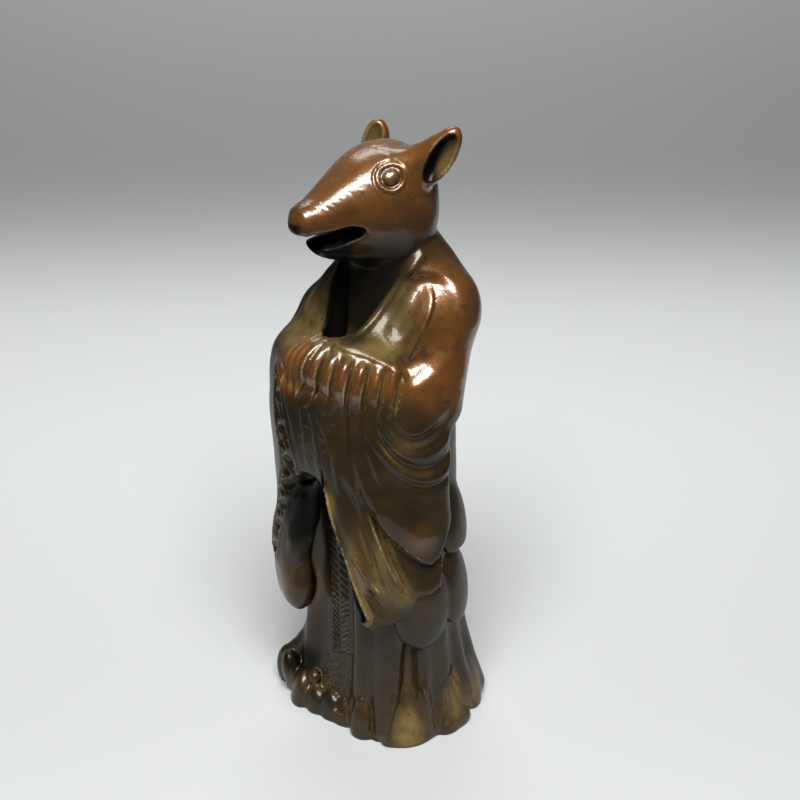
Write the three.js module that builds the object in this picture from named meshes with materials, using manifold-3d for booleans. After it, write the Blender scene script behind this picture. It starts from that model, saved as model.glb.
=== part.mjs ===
import * as THREE from 'three';
import { triTable } from 'three/addons/objects/MarchingCubes.js';
import { mergeVertices } from 'three/addons/utils/BufferGeometryUtils.js';
import Module from 'manifold-3d';

// A small cast bronze figure: a robed body with an animal's head, its hands joined inside long sleeves.
// Driving size, in millimetres: from the ground to the tip of the higher ear
const HEIGHT = 120;

// Pose, proportions and carving are shares of the height: every other length is in hundredths of it.
// The figure's left is +X, its front is -Y and the ground is z = 0.

// How finely the surface is worked out, and how many faces it keeps
const CELL = 0.85;
const FACES = 9400;

// The upright axis that azimuths and distances are measured from
const AXIS_Y = 1.5;
const DEG = Math.PI / 180;

// Blends
const smin = (a, b, k) => {
  const h = Math.max(k - Math.abs(a - b), 0) / k;
  return Math.min(a, b) - h * h * k * 0.25;
};
const smax = (a, b, k) => -smin(-a, -b, k);
const clamp01 = (t) => Math.min(Math.max(t, 0), 1);
const lerp = (a, b, t) => a + (b - a) * t;
const ease = (t) => t * t * (3 - 2 * t);
const band = (value, low, high, soft) =>
  ease(clamp01((value - low) / soft + 0.5)) * ease(clamp01((high - value) / soft + 0.5));
// Straight lines between rows of [place, value]
function between(rows, at) {
  let k = 0;
  while (k < rows.length - 2 && at > rows[k + 1][0]) k++;
  const [p, q] = [rows[k], rows[k + 1]];
  return lerp(p[1], q[1], clamp01((at - p[0]) / (q[0] - p[0])));
}

// A tapered round bar between two points
function bar(a, b, ra, rb) {
  const [ax, ay, az] = a;
  const [dx, dy, dz] = [b[0] - ax, b[1] - ay, b[2] - az];
  const len2 = dx * dx + dy * dy + dz * dz;
  return (x, y, z) => {
    const px = x - ax;
    const py = y - ay;
    const pz = z - az;
    const t = clamp01((px * dx + py * dy + pz * dz) / len2);
    return Math.hypot(px - dx * t, py - dy * t, pz - dz * t) - lerp(ra, rb, t);
  };
}

// An egg with three half axes: turned about Z, leaned about its first axis, tipped about its second
function egg(c, r, turn = 0, lean = 0, tip = 0) {
  const [ct, st] = [Math.cos(turn * DEG), Math.sin(turn * DEG)];
  const [cl, sl] = [Math.cos(lean * DEG), Math.sin(lean * DEG)];
  const [cp, sp] = [Math.cos(tip * DEG), Math.sin(tip * DEG)];
  return (x, y, z) => {
    const px = x - c[0];
    const py = y - c[1];
    const pz = z - c[2];
    const u = px * ct + py * st;
    const v0 = -px * st + py * ct;
    const v = v0 * cl - pz * sl;
    const w0 = v0 * sl + pz * cl;
    const uu = u * cp - w0 * sp;
    const w = u * sp + w0 * cp;
    const k0 = Math.hypot(uu / r[0], v / r[1], w / r[2]);
    const k1 = Math.hypot(uu / r[0] ** 2, v / r[1] ** 2, w / r[2] ** 2);
    return k1 > 1e-9 ? (k0 * (k0 - 1)) / k1 : -Math.min(...r);
  };
}

// Places round the body: azimuth from the front toward its left, distance from the axis, height
const place = (az, rho, z) => [rho * Math.sin(az * DEG), AXIS_Y - rho * Math.cos(az * DEG), z];
const petal = (az, rho, z, wide, thick, high, lean = 0, tip = 0) =>
  egg(place(az, rho, z), [wide, thick, high], az, lean, tip);

// A round rib that runs along a bent path of places: rows of [azimuth, distance, height, radius]
function rib(rows) {
  const pieces = 5;
  const points = [];
  for (let i = 0; i <= pieces; i++) {
    const t = i / pieces;
    const [a, b, c] = [(1 - t) ** 2, 2 * t * (1 - t), t * t];
    const row = [0, 1, 2, 3].map((j) => rows[0][j] * a + rows[1][j] * b + rows[2][j] * c);
    points.push([place(row[0], row[1], row[2]), row[3]]);
  }
  const bars = [];
  for (let i = 0; i < pieces; i++) {
    const [from, to] = [points[i], points[i + 1]];
    bars.push(bar(from[0], to[0], from[1], to[1]));
  }
  return (x, y, z) => {
    let d = 1e9;
    for (const f of bars) d = Math.min(d, f(x, y, z));
    return d;
  };
}

// A stack of turned ovals along an axis: rows of [place, centre u, centre v, half u, half v, turn]
function stack(rows, power, round) {
  const [low, high] = [rows[0][0], rows[rows.length - 1][0]];
  const steps = 96;
  const table = [];
  for (let i = 0; i <= steps; i++) {
    const w = low + ((high - low) * i) / steps;
    let k = 0;
    while (k < rows.length - 2 && w > rows[k + 1][0]) k++;
    const [p1, p2] = [rows[k], rows[k + 1]];
    const p0 = rows[Math.max(k - 1, 0)];
    const p3 = rows[Math.min(k + 2, rows.length - 1)];
    const span = p2[0] - p1[0];
    const t = (w - p1[0]) / span;
    const [t2, t3] = [t * t, t * t * t];
    const row = [];
    for (let j = 1; j < 6; j++) {
      const m1 = ((p2[j] - p0[j]) / (p2[0] - p0[0])) * span;
      const m2 = ((p3[j] - p1[j]) / (p3[0] - p1[0])) * span;
      const ends = (2 * t3 - 3 * t2 + 1) * p1[j] + (3 * t2 - 2 * t3) * p2[j];
      row.push(ends + (t3 - 2 * t2 + t) * m1 + (t3 - t2) * m2);
    }
    table.push(row);
  }
  return (u, v, w) => {
    const at = clamp01((w - low) / (high - low)) * steps;
    const i = Math.min(Math.floor(at), steps - 1);
    const t = at - i;
    const [r0, r1] = [table[i], table[i + 1]];
    const cu = lerp(r0[0], r1[0], t);
    const cv = lerp(r0[1], r1[1], t);
    const a = Math.max(lerp(r0[2], r1[2], t), 0.05);
    const b = Math.max(lerp(r0[3], r1[3], t), 0.05);
    const turn = lerp(r0[4], r1[4], t) * DEG;
    const [c, s] = [Math.cos(turn), Math.sin(turn)];
    const pu = Math.abs((u - cu) * c + (v - cv) * s) / a;
    const pv = Math.abs(-(u - cu) * s + (v - cv) * c) / b;
    const q = (pu ** power + pv ** power) ** (1 / power);
    let d;
    if (q < 0.35) {
      d = (q - 1) * Math.min(a, b);
    } else {
      const g = q ** (1 - power) * Math.hypot(pu ** (power - 1) / a, pv ** (power - 1) / b);
      d = (q - 1) / g;
    }
    return smax(d, Math.max(low - w, w - high), round);
  };
}

// Folds are drawn on the unrolled surface: degrees round the body's axis and height.
// A fold is [[azimuth, height] start, middle, end], its half width and its depth (a ridge is positive).
function fold(points, width, depth, taper = 0.25) {
  const [p0, p1, p2] = points;
  const pieces = 10;
  const line = [];
  for (let i = 0; i <= pieces; i++) {
    const t = i / pieces;
    const [a, b, c] = [(1 - t) ** 2, 2 * t * (1 - t), t * t];
    line.push([p0[0] * a + p1[0] * b + p2[0] * c, p0[1] * a + p1[1] * b + p2[1] * c]);
  }
  const azs = line.map((p) => p[0]);
  const zs = line.map((p) => p[1]);
  const box = [Math.min(...azs), Math.max(...azs), Math.min(...zs), Math.max(...zs)];
  return (az, rho, z) => {
    if (z < box[2] - width || z > box[3] + width) return 0;
    const margin = (width / rho) / DEG;
    if (az < box[0] - margin || az > box[1] + margin) return 0;
    let best = width;
    let where = 0;
    const k = rho * DEG;
    for (let i = 0; i < pieces; i++) {
      const ax = (line[i][0] - az) * k;
      const ay = line[i][1] - z;
      const dx = (line[i + 1][0] - line[i][0]) * k;
      const dy = line[i + 1][1] - line[i][1];
      const t = clamp01(-(ax * dx + ay * dy) / (dx * dx + dy * dy + 1e-9));
      const dist = Math.hypot(ax + dx * t, ay + dy * t);
      if (dist < best) {
        best = dist;
        where = (i + t) / pieces;
      }
    }
    if (best >= width) return 0;
    const s = best / width;
    const end = taper > 0 ? ease(clamp01(Math.min(where, 1 - where) / taper)) : 1;
    return depth * (1 - s * s) ** 2 * end;
  };
}
function fan(count, first, last, width, depth, taper = 0.25) {
  const folds = [];
  for (let i = 0; i < count; i++) {
    const t = count > 1 ? i / (count - 1) : 0;
    const points = first.map((p, j) => [lerp(p[0], last[j][0], t), lerp(p[1], last[j][1], t)]);
    folds.push(fold(points, width, depth, taper));
  }
  return folds;
}
// A step down beyond a line of places, on its right when looking along it. It levels out within reach.
function ledge(line, drop, reach, taper = 0.2, soft = 0.8) {
  const azs = line.map((p) => p[0]);
  const zs = line.map((p) => p[1]);
  const box = [Math.min(...azs), Math.max(...azs), Math.min(...zs), Math.max(...zs)];
  const count = line.length - 1;
  return (az, rho, z) => {
    const k = rho * DEG;
    if (z < box[2] - reach || z > box[3] + reach) return 0;
    if (az < box[0] - reach / k || az > box[1] + reach / k) return 0;
    let [best, side, where] = [reach, 0, 0];
    for (let i = 0; i < count; i++) {
      const ax = (az - line[i][0]) * k;
      const ay = z - line[i][1];
      const dx = (line[i + 1][0] - line[i][0]) * k;
      const dy = line[i + 1][1] - line[i][1];
      const t = clamp01((ax * dx + ay * dy) / (dx * dx + dy * dy + 1e-9));
      const dist = Math.hypot(ax - dx * t, ay - dy * t);
      if (dist < best) [best, side, where] = [dist, Math.sign(ax * dy - ay * dx), (i + t) / count];
    }
    const step = ease(clamp01((side * best) / soft + 0.5)) * (1 - best / reach) ** 1.5;
    return -drop * step * ease(clamp01(Math.min(where, 1 - where) / taper));
  };
}
const around = (x, y) => Math.atan2(x, AXIS_Y - y) / DEG;
function draped(shape, folds) {
  return (x, y, z) => {
    let d = shape(x, y, z);
    if (Math.abs(d) > 3) return d;
    const az = around(x, y);
    const rho = Math.max(Math.hypot(x, y - AXIS_Y), 3);
    let sum = 0;
    for (const f of folds) sum += f(az, rho, z);
    return d - sum;
  };
}

// Robe skirt from the ground to the chest
const sashCentre = (z) => -9 - 0.2 * z;
const skirtCore = draped(stack([
  [-5, -0.4, 0.8, 15.8, 10.8, 0],
  [2, -0.2, 0.8, 14.8, 10.2, 0],
  [6, 0.2, 1.2, 13.0, 9.4, 0],
  [11, 0.4, 1.4, 11.6, 9.0, 0],
  [18, 0.5, 1.5, 11.0, 8.8, 0],
  [30, 0.4, 1.6, 10.8, 8.8, 0],
  [45, 0.2, 1.8, 11.0, 9.0, 0],
  [60, 0, 2.2, 10.0, 8.2, 0],
  [72, 0, 2.8, 9.0, 7.0, 0],
  [80, 0, 3.2, 6.0, 5.6, 0],
], 2.6, 2), [
  (az, rho, z) => {
    const off = Math.abs(az - sashCentre(z)) * rho * DEG;
    return 0.5 * band(off, -9, 2.1, 0.6) * band(z, 8.5, 46, 1);
  },
  ...fan(6, [[-22, 9], [-21, 6], [-20, 2.6]], [[-2, 9], [-1, 6], [0, 2.6]], 0.5, 0.3),
]);

// Flutes of the skirt: each rib runs down and flares to the hem
const flutes = [
  rib([[-50, 9.8, 42, 1.5], [-52, 10.4, 20, 1.8], [-50, 12.6, 4, 1.8]]),
  rib([[-66, 10.0, 24, 1.4], [-66, 10.2, 11, 1.6], [-62, 16.2, 6, 1.5]]),
  rib([[14, 8.4, 42, 1.4], [18, 9.0, 18, 1.6], [17, 10.6, 2, 2.0]]),
  rib([[36, 8.8, 42, 1.4], [43, 10.0, 18, 1.8], [34, 12.2, 3, 1.6]]),
  rib([[48, 10.4, 40, 0.9], [51, 10.4, 14, 1.1], [38, 13.6, 2.2, 1.4]]),
  rib([[70, 10.6, 40, 0.9], [69, 10.9, 16, 1.3], [64, 14.0, 2, 1.3]]),
  rib([[83, 9.8, 40, 1.6], [85, 10.4, 18, 2.0], [84, 12.6, 3, 2.4]]),
  rib([[102, 9.8, 40, 1.5], [103, 9.4, 18, 2.0], [104, 14.0, 4, 2.0]]),
  rib([[124, 9.0, 40, 1.6], [124, 9.2, 18, 2.2], [126, 14.2, 2, 2.8]]),
];
const backFlutes = 5;
for (let i = 0; i < backFlutes; i++) {
  const az = lerp(146, 214, i / (backFlutes - 1));
  flutes.push(rib([[az, 8.0, 44, 1.4], [az, 8.6, 18, 2.0], [az, 10.4, 1, 2.4]]));
}
const rightFlutes = 4;
for (let i = 0; i < rightFlutes; i++) {
  const az = lerp(-76, -126, i / (rightFlutes - 1));
  flutes.push(rib([[az, 9.2, 42, 1.4], [az, 9.6, 18, 2.0], [az, 13.4, 1, 2.4]]));
}
const hem = [
  // flared end of the channel between two ribs with its rim, and the toe and knob beside it
  petal(54, 13.2, 4.2, 3.2, 1.3, 6.2, 24),
  petal(52, 14.1, 0.7, 4.3, 1.8, 1.6),
  petal(21, 11.8, 2.0, 2.5, 2.2, 4.6, 10),
  petal(33, 12.8, 1.6, 1.2, 1.2, 4.6, 6),
  petal(87, 13.6, 3.4, 3.9, 1.7, 5.6, 22),
  petal(82, 15.0, 0.9, 2.2, 1.4, 1.6),
  petal(93, 15.2, 0.9, 2.2, 1.4, 1.6),
  petal(114, 14.2, 4.0, 3.0, 2.0, 6.0, 14),
  petal(140, 13.0, 1.2, 3.4, 2.6, 5.0),
  // scrolled toe at the right, with small knobs of the hem beside it
  petal(-55, 15.9, 3.6, 2.2, 1.7, 4.0, -8),
  petal(-62, 17.2, 3.2, 1.6, 1.7, 3.8),
  petal(-66, 14.2, 2.0, 3.4, 3.0, 5.0),
  petal(-46, 13.6, 4.4, 1.4, 1.3, 1.5),
  petal(-37, 12.3, 5.2, 1.3, 1.2, 1.3),
  petal(-96, 13.6, 1.2, 4.0, 2.4, 4.4),
  petal(-124, 14.4, 1.2, 3.2, 2.6, 5.0),
];
// ruffled hem along the straight front: azimuth and height of each ruffle
const ruffles = [[-42, 4.4], [-31, 3.4], [-17, 3.7], [-2, 3.2]];
const FRONT = 10.8;
for (const [az, high] of ruffles) {
  hem.push(petal(az, FRONT / Math.cos(az * DEG), 0.9, 2.5, 1.7, high, 6));
}
const backRuffles = 5;
for (let i = 0; i < backRuffles; i++) {
  const az = lerp(158, 218, i / (backRuffles - 1));
  hem.push(petal(az, 11.4, 1.0, 2.8, 2.0, 4.2));
}

// Outer robe: lobes that step down its open edge behind the left sleeve, and the flap under the sleeve
const edgeLobes = [
  { shape: petal(104, 8.6, 47, 3.4, 2.6, 7.4), end: 38 },
  { shape: petal(101, 11.3, 38, 4.4, 1.9, 7.4, 14), end: 32.6 },
  { shape: petal(102, 11.9, 25.4, 4.4, 2.0, 7.4, 10), end: 18.4 },
];
const flap = petal(67, 11.9, 24.4, 5.0, 2.2, 8.2, 4);

const chest = stack([
  [50, 0, 1.6, 10.2, 8.8, 0],
  [60, 0, 1.8, 10.6, 9.0, 0],
  [68, 0, 2.2, 10.8, 8.6, 0],
  [74, 0, 2.8, 10.4, 7.6, 0],
  [79, 0.6, 3.4, 8.6, 6.4, 0],
  [84, 0.8, 3.4, 6.2, 5.4, 0],
], 2.2, 2);
const leftShoulder = bar([7.4, 4.0, 72.8], [3.8, 4.8, 75.0], 7.0, 7.1);
const rightShoulder = bar([-8.0, 2.2, 67.6], [-1, 3.2, 72.8], 5.9, 6.0);
const leftArm = bar([7.8, 3.0, 70.5], [9.4, 0.6, 58.5], 6.6, 5.0);
const rightArm = bar([-8.8, 1.4, 67.0], [-12.0, -3.0, 60], 5.6, 4.9);
const leftBreast = bar(place(14, 6.4, 69), place(52, 7.2, 67.6), 4.4, 4.5);
const leftForearm = bar([9.4, 0.0, 60.2], [1.0, -8.4, 64], 4.9, 4.8);
const rightForearm = bar([-11.4, -3.8, 61.4], [-3, -8.6, 64.2], 4.9, 4.7);

// Sleeves: long ovals that hang from the forearms
const leftSleeve = stack([
  [19.5, 6.6, -9.4, 1.0, 0.9, 43],
  [22.5, 7.7, -8.5, 4.1, 1.8, 43],
  [28, 9.2, -6.8, 7.3, 2.4, 43],
  [35, 8.6, -6.2, 8.4, 3.2, 43],
  [45, 6.4, -6.2, 9.6, 4.2, 43],
  [57, 6.0, -5.0, 9.0, 5.0, 42],
  [66, 5.0, -5.0, 7.0, 4.0, 42],
], 2.4, 2.5);
const rightSleeve = stack([
  [18, -12.0, -7.2, 2.4, 1.8, -30],
  [22, -12.4, -7.0, 3.8, 2.6, -32],
  [30, -12.6, -6.6, 5.0, 3.0, -36],
  [38, -11.2, -6.6, 5.6, 3.2, -38],
  [46, -10.4, -6.8, 6.6, 3.8, -38],
  [57, -9.6, -6.6, 7.6, 4.8, -38],
  [66, -7.6, -6.2, 7.2, 4.2, -38],
], 2.4, 2.5);
const leftMouth = bar([-0.4, -9.8, 42], [6.0, -8.6, 21.5], 1.0, 1.4);
const leftSlot = bar(place(15.6, 14.2, 30), place(21.4, 14.4, 25), 0.8, 1.25);
const rightMouth = bar(place(-16, 13.6, 44.6), place(-31, 12.4, 25), 2.7, 2.4);
const rightToe = petal(-46, 13.6, 22.6, 2.9, 2.1, 4.4, 8);
const apron = stack([
  [46.2, -2.6, -10.4, 4.8, 1.9, 0],
  [51, -2.8, -11.0, 5.6, 2.4, 0],
  [62, -3.0, -10.2, 6.0, 3.6, 0],
], 2.6, 1.5);

// Head, in its own frame: forward, its left, up
const HEAD = { at: [0.4, 1.6, 89], heading: -17 };
const [hc, hs] = [Math.cos(HEAD.heading * DEG), Math.sin(HEAD.heading * DEG)];
const toHead = (x, y, z) => {
  const px = x - HEAD.at[0];
  const py = y - HEAD.at[1];
  return [px * hs - py * hc, px * hc + py * hs, z - HEAD.at[2]];
};
const onHead = (t, v, w) => [
  HEAD.at[0] + t * hs + v * hc, HEAD.at[1] - t * hc + v * hs, HEAD.at[2] + w];
const skull = stack([
  [-7.4, 0, -0.6, 2.4, 2.8, 0],
  [-5.8, 0, -0.6, 5.2, 6.0, 0],
  [-2.6, 0, -0.4, 7.2, 8.0, 0],
  [1, 0, -0.1, 7.4, 8.0, 0],
  [5, 0, 0.0, 6.2, 6.8, 0],
  [9, 0, -0.3, 4.5, 4.7, 0],
  [12.6, 0, -0.9, 3.1, 3.0, 0],
  [14.9, 0, -1.1, 2.3, 2.2, 0],
  [16.3, 0, -1.3, 1.1, 1.0, 0],
], 2.4, 1.2);
const jaw = stack([
  [0, 0, -5.4, 5.4, 3.8, 0],
  [4, 0, -6.0, 4.8, 3.0, 0],
  [7.6, 0, -6.0, 3.8, 2.2, 0],
  [10.4, 0, -5.5, 3.1, 1.8, 0],
  [12.6, 0, -5.0, 2.5, 1.3, 0],
], 2.2, 1);
const mouth = stack([
  [6.7, 0, -2.9, 6, 0.5, 0],
  [7.5, 0, -2.9, 6, 1.15, 0],
  [9.2, 0, -3.05, 6, 1.5, 0],
  [11.5, 0, -3.5, 6, 1.3, 0],
  [18, 0, -4.1, 6, 1.1, 0],
], 3.0, 0.5);
const palate = egg(onHead(10.8, 0, -5.0), [1.9, 2.9, 1.3], HEAD.heading);
const tongue = bar(onHead(4, 0, -4.9), onHead(10.4, 0, -6.3), 2.0, 0.7);
const eyeAt = onHead(3.3, 6.2, 5.1);
const eye = (x, y, z) => Math.hypot(x - eyeAt[0], y - eyeAt[1], z - eyeAt[2]);
const head = (x, y, z) => {
  const [t, v, w] = toHead(x, y, z);
  let d = skull(v, w, t);
  d = smin(d, jaw(v, w, t), 1.5);
  const opening = Math.min(mouth(v, w, t), palate(x, y, z));
  d = smax(d, -smax(opening, -tongue(x, y, z), 0.3), 0.45);
  const r = eye(x, y, z);
  if (r < 4) {
    d -= 0.6 * Math.max(0, 1 - (r / 1.45) ** 2);
    d += 0.35 * Math.max(0, 1 - ((r - 1.65) / 0.5) ** 2) ** 2;
    d -= 0.3 * Math.max(0, 1 - ((r - 2.2) / 0.6) ** 2) ** 2;
  }
  return d;
};
const nearEarShell = egg(onHead(-3.4, 8.5, 7.3), [2.2, 2.0, 5.0], 38, -8, 28);
const nearEarScoop = egg(onHead(-2.1, 10.5, 7.3), [1.65, 2.7, 4.3], 38, -8, 28);
const nearEarWeb = bar(onHead(-0.6, 4.4, 5.2), onHead(-3.3, 7.7, 7.9), 2.7, 2.0);
const farEarShell = egg(onHead(-3.6, -7.6, 5.0), [2.1, 1.7, 3.9], 38, 6, 10);
const farEarScoop = egg(onHead(-2.5, -7.0, 5.5), [1.6, 1.2, 3.3], 38, 6, 10);
const neck = bar([0, 3.2, 66], [0.6, 2.8, 86], 6.6, 6.5);

// The robe's upper edge rises along the left lapel to the nape, and steeply along the right one
const COLLAR = { low: 68.9, left: 0.17, top: 83.0, cross: 66, right: 0.85, rightAz: -31 };
function collar(az) {
  const left = smin(COLLAR.low + COLLAR.left * az, COLLAR.top, 3);
  const right = Math.min(COLLAR.cross + COLLAR.right * (COLLAR.rightAz - az), COLLAR.top);
  return Math.max(left, right);
}
// Edge of the left arm's cloth: from the shoulder down to the elbow and round to the forearm
const ARM_EDGE = [[92, 79.5], [89, 77], [86.5, 74], [84, 71], [79, 68.6], [70, 66.6], [60, 65.2], [50, 64.4]];
const robeBody = draped((x, y, z) => {
  let d = smin(chest(x, y, z), smin(leftShoulder(x, y, z), rightShoulder(x, y, z), 2), 2.5);
  d = smin(d, leftBreast(x, y, z), 3);
  d = smin(d, leftArm(x, y, z), 2.5);
  return smin(d, rightArm(x, y, z), 2.5);
}, [
  (az, rho, z) => 0.4 * band(collar(az) - z, -2, 1.4, 0.5) * band(az, -10, 88, 10),
  fold([[80, 78.5], [60, 74.5], [38, 69.5]], 1.7, -0.35),
  ledge(ARM_EDGE, 1.7, 8, 0.12, 3.4),
  fold([[88, 79], [71, 73.5], [54, 66.8]], 0.8, 0.3),
  fold([[-66, 79], [-76, 73.5], [-53, 67.5]], 1.1, 0.65),
  fold([[-40, 78], [-50, 73], [-44, 67]], 1.0, -0.4),
  fold([[-78, 78], [-84, 72], [-74, 64]], 1.4, 0.4),
  fold([[-60, 66.4], [-44, 68.6], [-16, 68.4]], 0.8, 0.4),
  ...fan(3, [[130, 76], [140, 66], [150, 52]], [[172, 78], [176, 64], [178, 50]], 1.6, -0.5),
  ...fan(3, [[-130, 76], [-140, 66], [-150, 52]], [[-172, 78], [-176, 64], [-178, 50]], 1.6, -0.5),
]);
const throatSlot = bar(place(-43, 6.3, 80), place(-30, 7.8, 67), 1.2, 1.7);
const robeTop = (x, y, z) => smax(robeBody(x, y, z), (z - collar(around(x, y))) * 0.7, 0.5);

// Lower edge of the left sleeve: down the cuff to its tip, then out past a notch to the second tip, and up
const LEFT_HEM = [
  [-2, 50], [3, 46], [7.5, 41], [10.5, 36.4], [12.8, 31.5], [14.6, 28], [17.6, 25.2], [22, 23.4],
  [30, 22.2], [44, 23.6], [52, 24.9], [55.5, 26.8], [58, 28.4], [66, 28.4], [72, 29.3], [76, 33.5],
  [80, 38], [90, 46],
];
// Edge of the left sleeve's outer cloth, which hangs over the folds below it
const POUCH = [
  [17, 51], [24, 46.2], [30, 43], [40, 39.6], [51, 36.6], [60, 34.6], [66, 33.9], [71, 34.9],
  [76, 37.5], [81, 41],
];
// Row of raised leaves along the right cuff: azimuth of its middle at each height
const CUFF_MIDDLE = [[28, -56], [34, -51], [40, -42], [46, -31], [50, -29], [56, -32], [62, -38]];
const CUFF = { half: 1.9, pitch: 5.0, low: 27, high: 63, deep: 0.6 };
function cuffBand(az, rho, z) {
  const off = (az - between(CUFF_MIDDLE, z)) * rho * DEG;
  const wave = Math.sin((z / CUFF.pitch) * 2 * Math.PI);
  const leaf = Math.max(0, 1 - ((off + 0.75 * wave) / 1.2) ** 2) ** 2 * wave ** 2;
  return -CUFF.deep * leaf * band(Math.abs(off), -9, CUFF.half, 0.5) * band(z, CUFF.low, CUFF.high, 3);
}

// Both sleeves with the hands joined inside them
const sleevesBoth = draped((x, y, z) => {
  let d = smin(leftForearm(x, y, z), rightForearm(x, y, z), 1.5);
  d = smin(d, leftSleeve(x, y, z), 2.5);
  d = smin(d, rightSleeve(x, y, z), 2.5);
  d = smin(d, apron(x, y, z), 1.5);
  d = smax(d, -rightMouth(x, y, z), 1.2);
  d = smax(d, -leftMouth(x, y, z), 0.8);
  d = smax(d, -leftSlot(x, y, z), 0.4);
  d = smin(d, rightToe(x, y, z), 1.6);
  const az = around(x, y);
  return az > -2 && az < 130 ? smax(d, (between(LEFT_HEM, az) - z) * 0.7, 0.6) : d;
}, [
  // gathers over the joined forearms: pinched valleys with full ridges between
  ...fan(7, [[-13, 69.7], [-11, 66.6], [-17, 59]], [[51, 66.5], [46, 63.6], [42, 57.5]], 0.7, -0.65, 0.35),
  ...fan(6, [[-7.7, 69.6], [-6, 67.4], [-8, 63]], [[46.3, 67.0], [43, 65.2], [41, 60.6]], 1.0, 0.42),
  ...fan(3, [[-38, 69.5], [-33, 65], [-24, 59.5]], [[-22, 70], [-18, 65.5], [-13, 59]], 0.8, -0.4),
  ledge(ARM_EDGE, 1.7, 8, 0.12, 3.4),
  // front panel
  fold([[-29, 62], [-15, 56], [-19, 47.5]], 0.6, 0.35),
  fold([[-8, 60.5], [-2, 55], [-4.5, 47]], 0.6, 0.35),
  fold([[1, 59], [7, 55], [11, 46]], 0.6, 0.3),
  // folds that hang below the left elbow, each from a gather round to the outer side
  fold([[34, 62], [53, 49.4], [86, 61]], 1.3, -0.55),
  fold([[29, 62], [51, 46], [92, 58]], 1.3, 0.35),
  fold([[24.5, 62], [51, 43.3], [96, 55]], 1.2, -0.45),
  fold([[21, 61], [53, 41.3], [98, 53]], 1.1, 0.25),
  fold([[18, 61], [54, 39.5], [100, 51.5]], 1.1, -0.3),
  // long folds from the gathers to the hem, below the outer cloth's pouch
  fold([[13, 63], [13, 52], [29, 43.5]], 0.9, -0.4),
  fold([[20, 62], [22, 54], [36, 46]], 1.1, -0.35),
  fold([[30, 46], [48, 42], [70, 37]], 3.0, 0.6),
  ledge(POUCH, 1.5, 6),
  fold([[26, 47], [37, 37.5], [55.5, 27.6]], 0.9, -0.8),
  fold([[24, 44], [33, 36], [52, 26.6]], 1.0, 0.4),
  fold([[12, 50], [23, 40], [42, 26]], 0.9, -0.55),
  // rolled front edge of the left cuff and the dents beside it
  fold([[-1, 49], [12, 35.6], [30.5, 23]], 0.7, 0.5, 0.1),
  fold([[27, 31.4], [34, 30.4], [40, 28]], 0.9, 0.55),
  fold([[25, 30.4], [31, 28], [38, 25]], 0.9, -0.5),
  // right sleeve
  cuffBand,
  fold([[-14, 48], [-34, 42], [-41, 27]], 0.6, 0.4),
  ...fan(3, [[-62, 62], [-62, 50], [-60, 34]], [[-78, 60], [-74, 48], [-68, 30]], 1.2, -0.45),
]);

// How far the form goes on below the ground before it is cut flat
const BELOW = -3;
// The skirt with its ribs, hem and lobes
const skirt = draped((x, y, z) => {
  let d = skirtCore(x, y, z);
  for (const f of flutes) d = smin(d, f(x, y, z), 1.8);
  for (const f of hem) d = smin(d, f(x, y, z), 0.7);
  d = smin(d, flap(x, y, z), 0.3);
  for (const lobe of edgeLobes) d = smin(d, smax(lobe.shape(x, y, z), lobe.end - z, 0.7), 0.5);
  return d;
}, [
  // hollow of the channel between its two raised rims
  fold([[52, 3.0], [57, 9], [55, 20]], 2.4, -0.45),
  fold([[39, 0.6], [37, 4.6], [46, 9.5]], 1.0, 0.6, 0.15),
  fold([[66, 1.6], [68, 6], [64, 11]], 0.9, 0.6, 0.15),
  // toe beside it with its grooves
  fold([[28, 0.4], [30.5, 3.6], [24, 7.2]], 1.0, -0.45, 0.3),
  fold([[9, 0.4], [7, 4], [14, 7.4]], 0.9, -0.4, 0.3),
  fold([[22, 6.4], [18, 7.2], [14, 5.4]], 0.9, 0.4, 0.3),
  // folds that spread to the hem of the outer lobe
  ...fan(4, [[83, 11], [80, 6], [76, 1.2]], [[93, 11], [98, 6], [103, 1.2]], 1.0, -0.45),
]);

function figure(x, y, z) {
  const robe = robeTop(x, y, z);
  const sleeves = sleevesBoth(x, y, z);
  let d = smin(skirt(x, y, z), robe, 2);
  d = smin(d, sleeves, 0.8 + 1.6 * band(z, 63, 90, 3));
  const nearEar = smin(nearEarShell(x, y, z), nearEarWeb(x, y, z), 1.6);
  let top = smax(smin(head(x, y, z), nearEar, 1.6), -nearEarScoop(x, y, z), 0.4);
  top = smin(top, smax(farEarShell(x, y, z), -farEarScoop(x, y, z), 0.4), 1.2);
  top = smin(top, neck(x, y, z), 1.5);
  d = smin(d, top, 0.9);
  d = smax(d, -throatSlot(x, y, z), 0.6);
  return Math.max(d, BELOW - z);
}

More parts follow.
